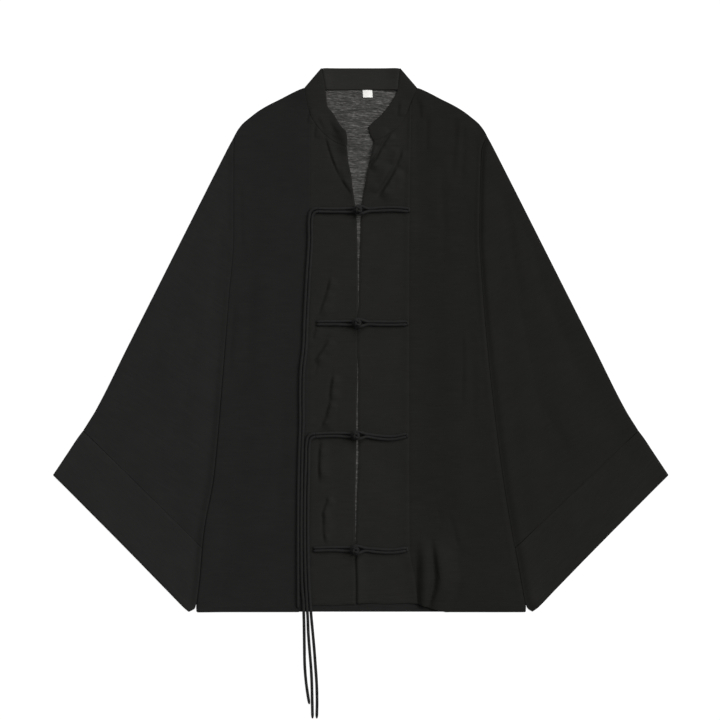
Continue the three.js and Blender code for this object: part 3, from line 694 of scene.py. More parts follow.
def shell(name, sheet, thickness, materials, upper=None, folded=False):
    """Closed cloth of that thickness on both sides of a grid of points, with round edges.
    upper gives the material of each cell's upper side. The rest has the first material."""
    rows, columns = sheet.shape[:2]
    across = np.gradient(sheet, axis=1)
    down = np.gradient(sheet, axis=0)
    normals = unit(np.cross(across, down))
    if not folded and normals[..., 2].mean() < 0:
        normals = -normals
    half = thickness / 2
    top = sheet + normals * half
    bottom = sheet - normals * half
    count = rows * columns
    index = np.arange(count).reshape(rows, columns)
    border = np.concatenate([index[0, :-1], index[:-1, -1], index[-1, :0:-1], index[:0:-1, 0]])
    rings = rim_rings(sheet, normals, border, half)
    vertices = np.concatenate([top.reshape(-1, 3), bottom.reshape(-1, 3), *rings])
    corners = (index[:-1, :-1], index[:-1, 1:], index[1:, 1:], index[1:, :-1])
    cells = np.stack(corners, axis=-1).reshape(-1, 4)
    round_rim = 2 * count + np.arange(3 * len(border)).reshape(3, -1)
    rim = strip([border, *round_rim, border + count])
    faces = np.concatenate([cells[:, ::-1], cells + count, rim])
    if signed_volume(vertices, faces) < 0:
        faces = faces[:, ::-1]
    face_materials = np.zeros(len(faces), int)
    if upper is not None:
        face_materials[:len(cells)] = upper.reshape(-1)
    return make_object(name, vertices, faces, materials, face_materials)


def signed_volume(vertices, quads):
    a, b, c, d = (vertices[quads[:, k]] for k in range(4))
    return (np.cross(b - a, c - a) * a).sum() / 6 + (np.cross(c - a, d - a) * a).sum() / 6


def sheet_area(sheet):
    across = np.diff(sheet, axis=1)[:-1]
    down = np.diff(sheet, axis=0)[:, :-1]
    return float(np.linalg.norm(np.cross(across, down), axis=-1).sum()) * MM * MM


def blended(top, bottom, start, end, u, v):
    """Grid of places inside four edges: top and bottom at the shares u, start and end at the shares v."""
    u, v = u[None, :, None], v[:, None, None]
    grid = (1 - v) * top[None] + v * bottom[None] + (1 - u) * start[:, None] + u * end[:, None]
    corners = (1 - u) * (1 - v) * top[0] + u * (1 - v) * top[-1]
    corners = corners + (1 - u) * v * bottom[0] + u * v * bottom[-1]
    return grid - corners


def edge_distances(grid):
    """Distance of each place of a grid from its start, end, top and bottom edge."""
    across = np.cumsum(np.pad(np.linalg.norm(np.diff(grid, axis=1), axis=-1), ((0, 0), (1, 0))), axis=1)
    down = np.cumsum(np.pad(np.linalg.norm(np.diff(grid, axis=0), axis=-1), ((1, 0), (0, 0))), axis=0)
    return across, across[:, -1:] - across, down, down[-1:] - down


def seam_drop(distance, xy, depth, seed, ridge, width=1.9):
    """The valley at a seam, a soft ridge beside it, and small puckers."""
    pucker = 0.16 * soft_noise(xy * (0.4, 1.0), 9, seed) * bell(distance, 9)
    beside_it = ridge * bell(distance - 2.7 * width, 1.7 * width)
    return -depth * bell(distance, width) + beside_it + pucker


def sleeve_seam_height(name, distance, xy, on_sleeve=False):
    """Shape beside a sleeve's seam, on a soft ridge at the wearer's right and in a valley at the left."""
    low_down = 0.5 * (1 - np.tanh((xy[..., 1] - 380) / 90))
    if name == "right":
        crest = 1.1 + 1.5 * low_down
        if on_sleeve:
            return crest * bell(distance, 7)
        return seam_drop(distance, xy, 0.5 + low_down, 11, 0.0, 1.3) + crest * bell(distance, 24)
    width = 4.5 + 3 * low_down
    if on_sleeve:
        return 2.4 * (1 - bell(distance, width)) * bell(distance, 30)
    crest = 0.6 - 0.2 * low_down
    return crest * bell(distance - 6, 4) - 0.7 * bell(distance, 2 + 4 * low_down)


def edge_roll(distance, depth=0.45):
    return -depth * bell(distance, 1.6)


def hem_height(distance):
    """Turned-up hem: doubled cloth, with the dent of its row of stitches."""
    doubled = 0.14 * (1 - np.tanh((distance - HEM_DEPTH) / 1.4))
    return doubled - 0.22 * bell(distance - HEM_DEPTH + 1.4, 1.1)


def inset_shares(u, length, distance):
    return np.clip(u, distance / length, 1 - distance / length)


def with_height(grid, height):
    return np.concatenate([grid, height[..., None]], axis=-1)


def declare(obj, node, slot, flat, held, grid=None, **more):
    """Hides the imported part of that node, and works out the area of the cloth, which it does not keep."""
    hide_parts(node)
    if grid is not None:
        more["area"] = min(sheet_area(grid), flat[0] * flat[1])


# Stitches
def line_in(sheet, distance, down_columns=False):
    """Line of places at that distance from the last edge of the grid."""
    rows = sheet.transpose(1, 0, 2) if down_columns else sheet
    rows = rows[:, ::-1]
    steps = np.linalg.norm(np.diff(rows, axis=1), axis=-1)
    gone = np.concatenate([np.zeros((len(rows), 1)), np.cumsum(steps, axis=1)], axis=1)
    places = [[np.interp(distance, gone[i], row[:, k]) for k in range(3)] for i, row in enumerate(rows)]
    return np.array(places)


def stitch_mesh(line):
    """Short six-sided threads along a line on the cloth."""
    count = int(line_length(line) / STITCH["pitch"])
    centres = at_share(line, (np.arange(count) + 0.5) / count)
    ahead = at_share(line, (np.arange(count) + 0.7) / count)
    along = unit(ahead - centres)
    aside = unit(np.cross(along, (0, 0, 1)))
    up = np.cross(aside, along)
    turns = np.linspace(0, 2 * math.pi, 6, endpoint=False)
    radius = STITCH["radius"]
    shape = []
    for share, size in ((-0.5, 0.35), (-0.32, 1), (0.32, 1), (0.5, 0.35)):
        round_it = size * radius * np.column_stack([np.cos(turns), np.sin(turns)])
        shape.append(np.column_stack([np.full(6, share * STITCH["length"]), round_it]))
    shape = np.concatenate(shape)
    middle = centres + up * (CLOTH / 2 + 0.3 * radius)
    vertices = middle[:, None] + shape[:, :1] * along[:, None] + shape[:, 1:2] * aside[:, None]
    vertices = vertices + shape[:, 2:] * up[:, None]
    one = strip(np.arange(24).reshape(4, 6)).tolist() + [list(range(6))[::-1], list(range(18, 24))]
    return vertices.reshape(-1, 3), [[k + 24 * i for k in face] for i in range(count) for face in one]


def joined_object(name, parts, material):
    """One object made of several tubes or rows of threads."""
    obj = make_object(name, *join_parts(parts), [material])
    return obj


def stitches(name, lines):
    return joined_object(name, [stitch_mesh(line) for line in lines], "thread")


def seam_fill(name, line, material, raise_by):
    """The turned-in edges of two pieces, seen as a thin roll in the seam between them."""
    heights = FRONT_LEVEL + laid_height(line) - 0.1 + raise_by
    places = at_share(with_height(line, heights), np.linspace(0, 1, 2 * len(line)))
    return joined_object(name, [tube(places, SEAM_ROLL_RADIUS, 8)], material)


# Back panel
def back():
    top_line = np.array([(60, BACK_NECK_UP), (78.6, 733.4), *SHOULDER[1:]], float)
    top_line[2:, 1] -= np.minimum(2.2, 1.4 + 0.4 * np.arange(len(top_line) - 2))
    left = smooth_line(top_line)
    right = left[::-1] * (-1, 1)
    neck = np.array([right[-1], left[0]])
    thirds = [at_share(line, np.linspace(0, 1, 29)) for line in (right, neck, left)]
    top = np.concatenate([thirds[0][:-1], thirds[1][:-1], thirds[2]])
    u = np.linspace(0, 1, len(top))
    seams = [smooth_line(sided(SLEEVE_SEAM[name][:-1], side)) for name, side in SIDES.items()]
    ups = np.concatenate([np.arange(664, 24, -7.0), [22, 20, 18, 15, 12, 9, 6, 4, 2.4, 1.2, 0.5]])
    start, end = (at_up(seam, ups) for seam in seams)
    bottom = np.stack([np.interp(u, [0, 1], [start[-1, 0], end[-1, 0]]), np.full(len(u), ups[-1])], axis=-1)
    top[0], top[-1] = start[0], end[0]
    grid = blended(top, bottom, start, end, inset_shares(u, 420, EDGE_INSET), (ups[0] - ups) / ups[0])
    d_start, d_end, d_top, d_bottom = edge_distances(grid)
    height = BACK_LEVEL + 0.16 * np.maximum(0, soft_noise(grid, 40, 8))
    height += 0.1 * np.maximum(0, soft_noise(grid, 14, 9)) + hem_height(d_bottom)
    height = np.where(np.minimum(d_start, d_end) < 4, BACK_LEVEL, height)
    height = np.where(d_top < 12, BACK_LEVEL, height)
    sheet = with_height(grid, height)
    turned_in = grid[:-1, :-1, 1] < HEM_DEPTH + 1
    turned_in |= (d_top[:-1, :-1] < 5) & (np.abs(grid[:-1, :-1, 0]) > 68)
    obj = shell("back_cloth", sheet, CLOTH, ["cloth", "inside"], np.where(turned_in, 0, 1))
    declare(obj, "back", "inside", FLAT["back"], "laid", sheet)


# Front panels
def joined(first, second, u, split):
    """Places at the shares u on two lines in a row, the first of which takes up the shares to split."""
    on_first = at_share(first, np.minimum(u / split, 1))
    on_second = at_share(second, np.maximum(0, (u - split) / (1 - split)))
    return np.where((u <= split)[:, None], on_first, on_second)


def front_grid(name, split):
    side = SIDES[name]
    hem = hem_places(name)
    u = np.unique(np.append(shares(160, 2.6), split))
    top = joined(smooth_line(sided(SHOULDER, side))[::-1], neck_part(name, True), u, split)
    rise = bowed(hem["level"], hem["band"], 0.8 * side, 8)
    bottom = joined(np.linspace(hem["seam"], hem["level"], 12), rise, u, split)
    length = 731
    v = shares(length, 3.2)
    near_hem = 1 - np.arange(0, 100, 2.2) / length
    v = np.unique(np.concatenate([v[v < 1 - 100 / length], near_hem, v[v > 1 - 3 / length]]))
    start = at_up(seam_line(SLEEVE_SEAM, name), 666 * (1 - v))
    end = way_down(seam_line(BAND_SEAM, name), BAND_SEAM[name][0][1], hem["band"][1], v)
    u_in = inset_shares(u, 150, EDGE_INSET)
    v_in = inset_shares(v, 725, EDGE_INSET)
    return u, blended(top, bottom, start, end, u_in, v_in)


def front(name):
    split = 0.8
    u, grid = front_grid(name, split)
    d_sleeve, d_band, d_top, d_hem = edge_distances(grid)
    height = FRONT_LEVEL + laid_height(grid)
    height += sleeve_seam_height(name, d_sleeve, grid)
    height += seam_drop(d_band, grid, 0.18, 12, 0.03) + BAND_RIDGE[name] * bell(d_band, 15)
    height += hem_height(d_hem) + edge_roll(d_hem, 0.6)
    on_neck = 1 / (1 + np.exp(-(u - split) * 260))
    height += on_neck[None] * seam_drop(d_top, grid, 0.2, 13, 0.03)
    sheet = with_height(grid, np.maximum(height, LOWEST_FRONT))
    sheet = over_the_shoulder(sheet, 1 - on_neck)
    obj = shell(f"front_{name}_cloth", sheet, CLOTH, ["front_left" if name == "left" else "cloth"])
    hem_row = line_in(sheet, HEM_DEPTH - STITCH["from_hem_fold"], down_columns=True)
    sewn = stitches(f"front_{name}_stitches", [hem_row])
    declare(
        obj, f"front_{name}", "cloth", FLAT["front"], "laid", sheet, rests_on=["back"],
        with_pieces=[sewn],
    )


def over_the_shoulder(sheet, on_shoulder):
    """Turns the panel's top edge down in a round fold along the shoulder, and a little along the neck."""
    outward = unit((sheet[0] - sheet[3]) * (1, 1, 0))
    radius = (sheet[0, :, 2] - BACK_LEVEL) / 2
    reach = on_shoulder * (radius + CLOTH / 2 - EDGE_INSET)
    _, _, d_top, _ = edge_distances(sheet[..., :2])
    fade = np.exp(-d_top / 7)
    sheet = sheet.copy()
    sheet[..., :2] -= (fade * reach[None])[..., None] * outward[None, :, :2]
    rows = []
    for angle in (-80, -55, -30, -5, 20, 45, 68):
        turned = math.radians(angle)
        side_reach = np.maximum(on_shoulder * radius, 0.1) * math.cos(turned)
        fall = (1 - math.sin(turned)) * np.where(on_shoulder > 0.5, radius, 0.2)
        row = sheet[0] + outward * side_reach[:, None]
        row[:, 2] = sheet[0, :, 2] - fall
        rows.append(row)
    return np.concatenate([np.array(rows), sheet])


# Front bands
def band_grid(name, band_seam):
    hem = hem_places(name)
    u, v = shares(68, 1.7), shares(690, 1.9)
    hem_line = np.linspace(hem["band"], hem["edge"], 10)
    hem_line[:, 1] += 0.5 * np.sin(np.linspace(0, 3 * math.pi, 10))
    start = way_down(band_seam, BAND_SEAM[name][0][1], hem["band"][1], v)
    end = way_down(seam_line(FRONT_EDGE, name), FRONT_EDGE[name][0][1], hem["edge"][1], v)
    top = at_share(neck_part(name, False), u)
    u_in = inset_shares(u, 68, EDGE_INSET)
    v_in = inset_shares(v, 680, EDGE_INSET)
    return blended(top, at_share(hem_line, u), start, end, u_in, v_in)


def band_height(name, grid):
    """Height of a band, whose edge stands up where the fronts meet below the last frog."""
    d_seam, d_edge, d_top, d_hem = edge_distances(grid)
    height = FRONT_LEVEL + laid_height(grid)
    height += seam_drop(d_seam, grid, 0.18, 12, 0.03) + BAND_RIDGE[name] * bell(d_seam, 10)
    height += seam_drop(d_top, grid, 0.2, 13, 0.03)
    closed = 0.5 * (1 - np.tanh((grid[..., 1] - 84) / 6))
    height += edge_roll(d_edge) - 1.0 * closed * bell(d_edge, 1.6)
    puffed = (1 - bell(d_edge, 2.4)) * bell(d_edge, 11)
    height += (2.6 if name == "left" else 0.7) * closed * puffed
    height += hem_height(d_hem) + edge_roll(d_hem, 0.5)
    height += 0.12 * soft_noise(grid * (1.0, 0.35), 5, 17) * bell(d_edge, 10)
    return np.maximum(height, LOWEST_FRONT)


def front_band(name):
    band_seam = seam_line(BAND_SEAM, name)
    grid = band_grid(name, band_seam)
    sheet = with_height(grid, band_height(name, grid))
    obj = shell(f"front_band_{name}_cloth", sheet, CLOTH, ["doubled"])
    edge_row = line_in(sheet, STITCH["from_edge"])
    hem_row = line_in(sheet, HEM_DEPTH - STITCH["from_hem_fold"], down_columns=True)
    sewn = stitches(f"front_band_{name}_stitches", [edge_row, hem_row])
    seam = at_share(band_seam, np.linspace(0.005, 0.995, 300))
    filled = seam_fill(f"front_band_{name}_seam", seam, "doubled", 1.2 if name == "left" else -0.1)
    declare(
        obj, f"front_band_{name}", "cloth", FLAT["front_band"], "laid", sheet, rests_on=["back"],
        with_pieces=[sewn, filled],
    )


# Sleeves and cuffs: each a flattened tube, folded along its top edge
def folded_tube(name, seam_lines, fold_lines, upper_step, raised, moved=lambda place: place):
    """Grid from the seam on the lower layer out to the fold, round it, and back on the upper layer.
    Each line is given twice, for the lower and the upper layer, which end a little apart."""
    outward = unit(fold_lines[1] - seam_lines[1])
    width = np.linalg.norm(fold_lines[1] - seam_lines[1], axis=1)
    puff = np.minimum(SLEEVE_PUFF[1], width / 10)
    radius = (FRONT_LEVEL + puff - BACK_LEVEL) / 2
    inner = [line + outward * EDGE_INSET for line in seam_lines]
    turn = [line - outward * (radius + CLOTH / 2)[:, None] for line in fold_lines]
    lower_shares = np.linspace(0, 1, 16)[None, :-1, None]
    lower = moved(inner[0][:, None] * (1 - lower_shares) + turn[0][:, None] * lower_shares)
    sag = 0.1 * np.maximum(0, soft_noise(lower, 30, 21)) * np.sin(math.pi * lower_shares[..., 0])
    angles = np.radians([-90, -65, -40, -15, 10, 35, 60])
    part = (np.sin(angles) + 1)[None, :, None] / 2
    bend = turn[0][:, None] * (1 - part) + turn[1][:, None] * part
    bend = bend + outward[:, None] * (radius[:, None] * np.cos(angles))[..., None]
    bend_height = BACK_LEVEL + radius[:, None] * (1 + np.sin(angles))
    upper_shares = (1 - shares(width.max(), upper_step, first=False))[None, :, None]
    upper = moved(inner[1][:, None] * (1 - upper_shares) + turn[1][:, None] * upper_shares)
    to_fold = np.linalg.norm(upper - turn[1][:, None], axis=-1)
    to_seam = np.linalg.norm(upper - inner[1][:, None], axis=-1)
    near_fold = puff[:, None] * bell(to_fold, SLEEVE_PUFF[0])
    laid = laid_height(upper) * (1 - np.exp(-to_fold / 6))
    height = FRONT_LEVEL + np.maximum(laid, near_fold + 0.25 * laid)
    height += sleeve_seam_height(name, to_seam, upper, on_sleeve=True) + raised(upper)
    height = np.maximum(height, LOWEST_FRONT)
    return np.concatenate([
        with_height(lower, BACK_LEVEL + sag), with_height(bend, bend_height), with_height(upper, height),
    ], axis=1)


def sleeve(name):
    seam = seam_line(SLEEVE_SEAM, name)
    fold = smooth_line(sided(SLEEVE_FOLD, SIDES[name]))
    v = shares(575, 3.4)
    seam_lines, fold_lines = [], []
    for end in (2.2, 0.7):
        seam_lines.append(way_down(seam, SLEEVE_FOLD[0][1], CUFF_SEAM_UP + end, v))
        fold_lines.append(at_share(fold, v * (1 - (end - 0.2) / line_length(fold))))
    cuff_line = np.array([seam_lines[1][-1], fold_lines[1][-1]])

    def raised(place):
        distance, _ = beside(place, cuff_line)
        near_middle = bell(place[..., 1] - 165, 45)
        return -(0.1 + 0.5 * near_middle * (name == "left")) * bell(distance, 6)

    sheet = folded_tube(name, seam_lines, fold_lines, 3.2, raised)
    obj = shell(f"sleeve_{name}_cloth", sheet, CLOTH, [f"sleeve_{name}"], folded=True)
    declare(obj, f"sleeve_{name}", "cloth", FLAT["sleeve"], "folded", sheet)


def cuff_lines(side, seam, fold):
    """The lines of a cuff's seam side and of its fold, each for the lower and for the upper layer."""
    corner = sided(CUFF_CORNER, side)
    v = shares(76, 2.0)
    seam_lines, fold_lines = [], []
    for start in (-0.8, 0.7):
        lower = at_up(seam, np.linspace(CUFF_SEAM_UP - start, NOTCH_UP, 12))
        side_line = np.concatenate([lower[:-1], [lower[-1] + (1.2 * side, 0)], [corner + (-0.4 * side, 0.3)]])
        seam_lines.append(at_share(side_line, v))
        first = (start + 0.1) / line_length(fold)
        fold_lines.append(at_share(fold, first + v * (1 - first - 0.4 / line_length(fold))))
    return seam_lines, fold_lines


def cuff(name):
    side = SIDES[name]
    seam = smooth_line(sided(SLEEVE_SEAM[name][:-1], side))
    fold = smooth_line(sided(CUFF_FOLD, side))
    seam_lines, fold_lines = cuff_lines(side, seam, fold)
    sleeve_line = np.array([seam_lines[1][0], fold_lines[1][0]])
    open_line = np.array([seam_lines[1][-1], fold_lines[1][-1]])
    bulge = np.array(CUFF_BULGE, float)
    outward = unit(np.array([side, -1.0]))

    def moved(place):
        to_edge, _ = beside(place, open_line)
        from_corner = np.linalg.norm(place - open_line[0], axis=-1)
        share = np.interp(from_corner, bulge[:, 0], bulge[:, 1]) * bell(to_edge, 25)
        return place + outward * share[..., None]

    def raised(place):
        to_sleeve, _ = beside(place, sleeve_line)
        to_edge, _ = beside(place, moved(np.linspace(*open_line, 30)))
        doubled = 0.2 * (1 - np.exp(-np.abs(to_sleeve) / 1.5))
        return doubled + edge_roll(np.abs(to_edge), 0.5)

    sheet = folded_tube(name, seam_lines, fold_lines, 2.2, raised, moved)
    obj = shell(f"cuff_{name}_cloth", sheet, CLOTH, [f"cuff_{name}"], folded=True)
    inner_end = at_up(seam, [CUFF_SEAM_UP])[0]
    along = unit(fold[0] - inner_end)
    seam = np.linspace(inner_end + 2 * along, fold[0] - 1.5 * along, 90)
    sewn = seam_fill(f"cuff_{name}_seam", seam, f"cuff_{name}", -0.25)
    declare(obj, f"cuff_{name}", "cloth", FLAT["cuff"], "folded", sheet, with_pieces=[sewn])


# Collar
COLLAR_WIDTH = 36
STAND_WIDTH = 34
COLLAR_END = 108  # along its foot from a front end to the fold


def collar_section(foot, top, across_shares, foot_inset, top_inset):
    length = np.linalg.norm(top - foot)
    part = np.clip(across_shares, foot_inset / length, 1 - top_inset / length)[:, None]
    return foot + part * (top - foot)


def stand_level(across_shares):
    """The stand rests on the back's neck edge at its foot and sinks to the surface at its top."""
    return COLLAR_CLOTH / 2 + 0.1 + (CLOTH + 0.1) * bell(across_shares * STAND_WIDTH, 14)


def collar_front(name, across_shares):
    """Rows from the collar's front end to its fold, and round the fold."""
    side = SIDES[name]
    foot = seam_line(NECK_SEAM, name)
    top = seam_line(COLLAR_TOP, name)
    foot_inset = COLLAR_CLOTH / 2 + SEAM_GAP
    top_inset = COLLAR_CLOTH / 2
    rows = []
    for share in 1 - shares(COLLAR_END, 2.2, last=False)[:-2]:
        top_in = top_inset * (1 - 0.5 * math.exp(-share * COLLAR_END / 6))
        place = collar_section(at_share(foot, share), at_share(top, share), across_shares, foot_inset, top_in)
        to_end = (1 - share) * COLLAR_END
        bulge = 1.6 * bell(to_end, 5) * np.sin(math.pi * across_shares)
        place[:, 0] -= side * (bulge - foot_inset * np.exp(-to_end / 3))
        height = FRONT_LEVEL + 0.25 + laid_height(place)
        height += seam_drop(across_shares * COLLAR_WIDTH, place, 0.42, 41, 0.0, 3.2)
        height += edge_roll((1 - across_shares) * COLLAR_WIDTH, 0.3)
        height += edge_roll(np.full(len(place), to_end), 0.35)
        rows.append(with_height(place, np.maximum(height, LOWEST_FRONT + 0.3)))
    along_fold = unit(top[0] - foot[0])
    outward = np.array([side * abs(along_fold[1]), abs(along_fold[0])])
    base = collar_section(foot[0], top[0], across_shares, foot_inset, 0.5 * top_inset)
    high = rows[-1][:, 2]
    low = high - COLLAR_CLOTH - 0.35
    radius = (high - low) / 2
    for angle in (90, 65, 40, 15, -10, -35, -60, -90):
        turned = math.radians(angle)
        reach = radius * math.cos(turned) - radius.max() - COLLAR_CLOTH / 2
        place = base + outward * reach[:, None]
        rows.append(with_height(place, (high + low) / 2 + radius * math.sin(turned)))
    return rows


def stand_rows(first, last, across_shares):
    """Rows of the stand between the two folds, which it passes under."""
    rims = {name: smooth_line(sided(COLLAR_TOP[name][:2], side)) for name, side in SIDES.items()}
    resting = stand_level(across_shares)
    steps = 130
    rows = []
    for i in range(1, steps):
        share = 0.5 - 0.5 * math.cos(math.pi * i / steps)
        row = first * (1 - share) + last * share
        to_side = min(share, 1 - share) * 110
        wave = 0.3 * np.maximum(0, soft_noise(row[:, :2], 24, 43)) * math.sin(math.pi * share)
        row[:, 2] = resting + (row[:, 2] - resting) * bell(to_side, 15) + wave
        name, width, start, slope = ("right", 8, -0.4, 1.5) if share < 0.5 else ("left", 16, 0.3, 1.1)
        from_rim, _ = beside(row[:, :2], rims[name])
        inward = -SIDES[name] * from_rim + start
        row[:, 2] += 1.9 * np.clip(inward / slope, 0, 1) * bell(from_rim, width) * (share != 0.5)
        row[:, 1] += (1 - math.exp(-to_side / 3)) * (1.2 * across_shares - 1.2 * (1 - across_shares))
        rows.append(row)
    return rows


def collar():
    across_shares = shares(COLLAR_WIDTH, 2.2)
    right = collar_front("right", across_shares)
    left = collar_front("left", across_shares)[::-1]
    stand = stand_rows(right[-1], left[0], across_shares)
    sheet = np.stack(right + stand + left)
    # The stand's rows show the collar's inner face, in its lighter copy of the cloth as a painted highlight.
    inner_rows_painted_highlight = np.zeros((sheet.shape[0] - 1, sheet.shape[1] - 1), int)
    inner_rows_painted_highlight[len(right) - 4:len(right) + len(stand) + 3] = 1
    obj = shell("collar_cloth", sheet, COLLAR_CLOTH, ["doubled", "collar_inside_painted_highlight"], upper=inner_rows_painted_highlight)
    filled = []
    for name in SIDES:
        foot = at_share(seam_line(NECK_SEAM, name), np.linspace(0.03, 0.985, 60))
        filled.append(seam_fill(f"collar_seam_{name}", foot, "doubled", -0.02))
    declare(obj, "collar", "cloth", FLAT["collar"], "folded", sheet, rests_on=["back"], with_pieces=filled)


# Size label
def label():
    u = np.linspace(-0.5, 0.5, 15)
    v = np.linspace(0, 1, 12)
    x, down = np.meshgrid(LABEL["x"] + u * LABEL["width"], v * LABEL["height"])
    grid = np.stack([x + LABEL["lean"] * down, LABEL["top"] - down], axis=-1)
    curl = 0.5 * (down / LABEL["height"]) ** 3 + 0.15 * np.cos(2 * math.pi * u)[None]
    sheet = with_height(grid, LABEL["level"] + curl)
    obj = shell("size_label_tape", sheet, LABEL["thickness"], ["label"])
    declare(obj, "size_label", "label", FLAT["size_label"], "laid", rests_on=["back"])


# Cords
def smooth_cord_line(points, step=1.2):
    line = smooth_line(points, 24, round_bends=True)
    count = max(8, int(line_length(line) / step))
    return at_share(line, np.linspace(0, 1, count))


def tube(line, radius, sides=14, seed=0, closed=False, round_start=True, round_end=True):
    """Vertices and faces of a round cord along a line, slightly uneven, with round ends."""
    count = len(line)
    ahead = np.roll(line, -1, axis=0) - np.roll(line, 1, axis=0) if closed else np.gradient(line, axis=0)
    tangents = unit(ahead)
    up = np.zeros_like(line)
    normal = unit(np.cross(tangents[0], (0.3, 0.2, 1.0)))
    for i, tangent in enumerate(tangents):
        normal = unit(normal - tangent * (normal @ tangent))
        up[i] = normal
    aside = np.cross(tangents, up)
    marks = np.arange(0, count + 9, 3)
    waver = np.random.default_rng(seed).uniform(-1, 1, len(marks))
    size = radius * (1 + CORD_WAVER * np.interp(np.arange(count), marks, waver))
    for k, share in enumerate((0.45, 0.8, 0.95)):
        if round_start and not closed:
            size[k] *= share
        if round_end and not closed:
            size[-1 - k] *= share
    angles = np.linspace(0, 2 * math.pi, sides, endpoint=False)
    ring = np.cos(angles)[None, :, None] * up[:, None] + np.sin(angles)[None, :, None] * aside[:, None]
    vertices = (line[:, None] + ring * size[:, None, None]).reshape(-1, 3)
    rings = np.arange(count * sides).reshape(count, sides)
    if closed:
        return vertices, strip([*rings, rings[0]]).tolist()
    return vertices, strip(rings).tolist() + [rings[0, ::-1].tolist(), rings[-1].tolist()]


def join_parts(parts):
    vertices, faces, offset = [], [], 0
    for part_vertices, part_faces in parts:
        vertices.append(part_vertices)
        faces += [tuple(k + offset for k in face) for face in part_faces]
        offset += len(part_vertices)
    return np.concatenate(vertices), faces


def cord_piece(node, parts):
    """The object that stands for a node, made of tubes."""
    obj = joined_object(f"{node}_cord", parts, "cord")
    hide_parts(node)
    return obj


def ball_knot_line(frog):
    """Closed line of the tied ball: a cord that winds round three times and weaves over and under itself."""
    level = CROSSING_LEVEL + CORD_RADIUS + KNOT_HEIGHT / 2 - 2.0
    t = np.linspace(0, 2 * math.pi, 200, endpoint=False)
    turns, bights = 3, 4
    around = turns * t
    tilt = 0.92 * np.cos(bights * t)
    out = (KNOT_RADIUS - 2.4) * (1 + 0.12 * np.sin(2 * bights * t))
    flat = KNOT_HEIGHT / 2 / KNOT_RADIUS
    return np.column_stack([
        frog["x"] + out * np.cos(tilt) * np.cos(around),
        frog["up"] + out * np.cos(tilt) * np.sin(around),
        level + flat * (out + 0.3) * np.sin(tilt),
    ])


def button_knot(number, frog):
    parts = [tube(ball_knot_line(frog), 1.6, 12, number, closed=True)]
    level = CROSSING_LEVEL + CORD_RADIUS + 0.3
    goes_on = number in TAILED_FROGS
    for strand in (1, -1):
        neck = [
            (frog["x"] + 0.2, frog["up"] + 0.5 * strand, level + KNOT_HEIGHT * 0.45),
            (frog["x"] - 0.3, frog["up"] + 0.9 * strand, level - 2.0),
            (frog["x"] - 1.6, frog["up"] + 1.3 * strand, CORD_LEVEL + 1.2),
            *pair_line(frog, strand)[1:],
        ]
        if goes_on:
            neck[-1] = np.array(neck[-1]) - (0.45, 0, 0)
        line = smooth_cord_line(neck)
        parts.append(tube(line, CORD_RADIUS, seed=10 * number + strand, round_end=not goes_on))
    cord_piece(f"button_knot_{number}", parts)


def button_loop(number, frog):
    x, up = frog["left"] + 0.6, frog["up"]
    turned_end = np.linspace((x, up + 3.4, CORD_LEVEL), (x, up - 3.4, CORD_LEVEL), 10)
    loop = tube(smooth_cord_line(loop_line(frog)), CORD_RADIUS, seed=50 + number)
    cord_piece(f"button_loop_{number}", [loop, tube(turned_end, 1.7, seed=number)])


def cord_tail(number, name):
    line = smooth_cord_line(tail_line(name), 2.0)
    line[:, 2] = np.maximum(line[:, 2], 1.03 * TAIL_RADIUS)
    radius = TAIL_RADIUS - (TAIL_RADIUS - CORD_RADIUS) * np.exp(-np.arange(len(line)) / 8)
    obj = cord_piece(name, [tube(line, radius, 12, 70 + number, round_start=False)])
    path = line * MM
    path[:, 1] -= JACKET_LENGTH / 2 * MM


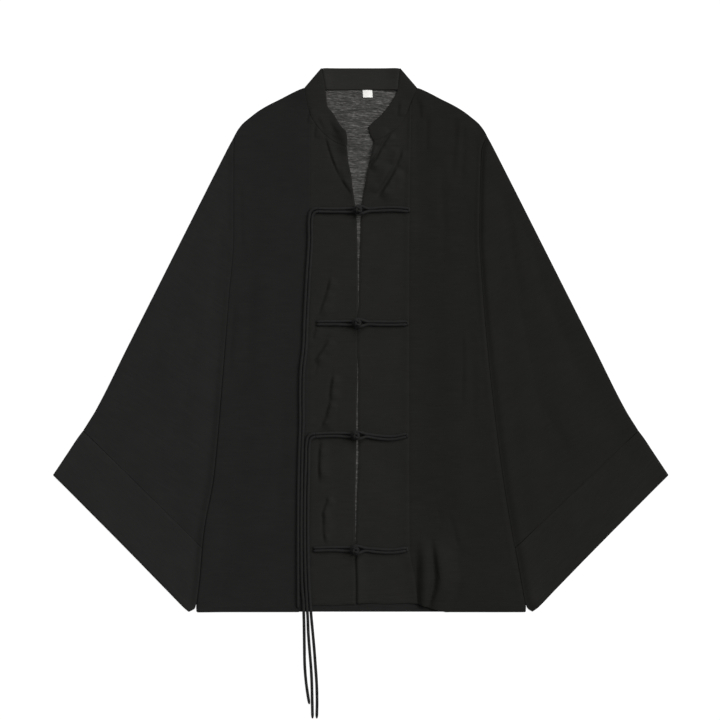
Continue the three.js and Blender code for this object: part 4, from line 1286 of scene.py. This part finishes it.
# Camera, light and floor
def camera():
    data = bpy.data.cameras.new("camera")
    data.lens = 85
    data.sensor_width = 36
    data.clip_end = 100
    obj = bpy.data.objects.new("camera", data)
    distance = PHOTO_WIDTH * MM * data.lens / data.sensor_width
    x, up = PHOTO_CENTRE
    obj.location = (x * MM, (up - JACKET_LENGTH / 2) * MM, distance + FRONT_TOP * MM)
    bpy.context.scene.collection.objects.link(obj)
    bpy.context.scene.camera = obj


def soft_sun(name, towards, power):
    """Even light from one side, as soft as a lamp that fills 30 degrees."""
    data = bpy.data.lights.new(name, "SUN")
    data.angle = math.radians(30)
    data.energy = power
    obj = bpy.data.objects.new(name, data)
    obj.location = Vector(towards) * 3
    obj.rotation_mode = "QUATERNION"
    obj.rotation_quaternion = (-Vector(towards)).to_track_quat("-Z", "Y")
    bpy.context.scene.collection.objects.link(obj)


def floor():
    reach = 30.0
    mesh = bpy.data.meshes.new("floor")
    corners = [(-reach, -reach, 0), (reach, -reach, 0), (reach, reach, 0), (-reach, reach, 0)]
    mesh.from_pydata(corners, [], [(0, 1, 2, 3)])
    material, _, _ = new_material(
        "pale_floor", Base_Color=(0.06, 0.06, 0.06, 1), Roughness=0.9, Emission_Color=(1, 1, 1, 1),
        Emission_Strength=0.93,
    )
    mesh.materials.append(material)
    obj = bpy.data.objects.new("floor", mesh)
    obj.location.z = -0.0002
    bpy.context.scene.collection.objects.link(obj)


def lighting():
    world = bpy.data.worlds.new("studio")
    world.use_nodes = True
    background = world.node_tree.nodes["Background"]
    background.inputs["Color"].default_value = (1, 1, 1, 1)
    background.inputs["Strength"].default_value = 0.55
    bpy.context.scene.world = world
    bpy.context.scene.view_settings.view_transform = "Standard"
    soft_sun("key", (0.68, 0.26, 0.68), 3.7)
    soft_sun("second", (0.14, 0.70, 0.68), 2.5)


camera()
for number, name in enumerate(TAILS, 1):
    cord_tail(number, name)
floor()
lighting()
back()
for side_name in SIDES:
    front(side_name)
    front_band(side_name)
    sleeve(side_name)
    cuff(side_name)
collar()
label()
for number, frog in enumerate(FROGS, 1):
    button_knot(number, frog)
    button_loop(number, frog)
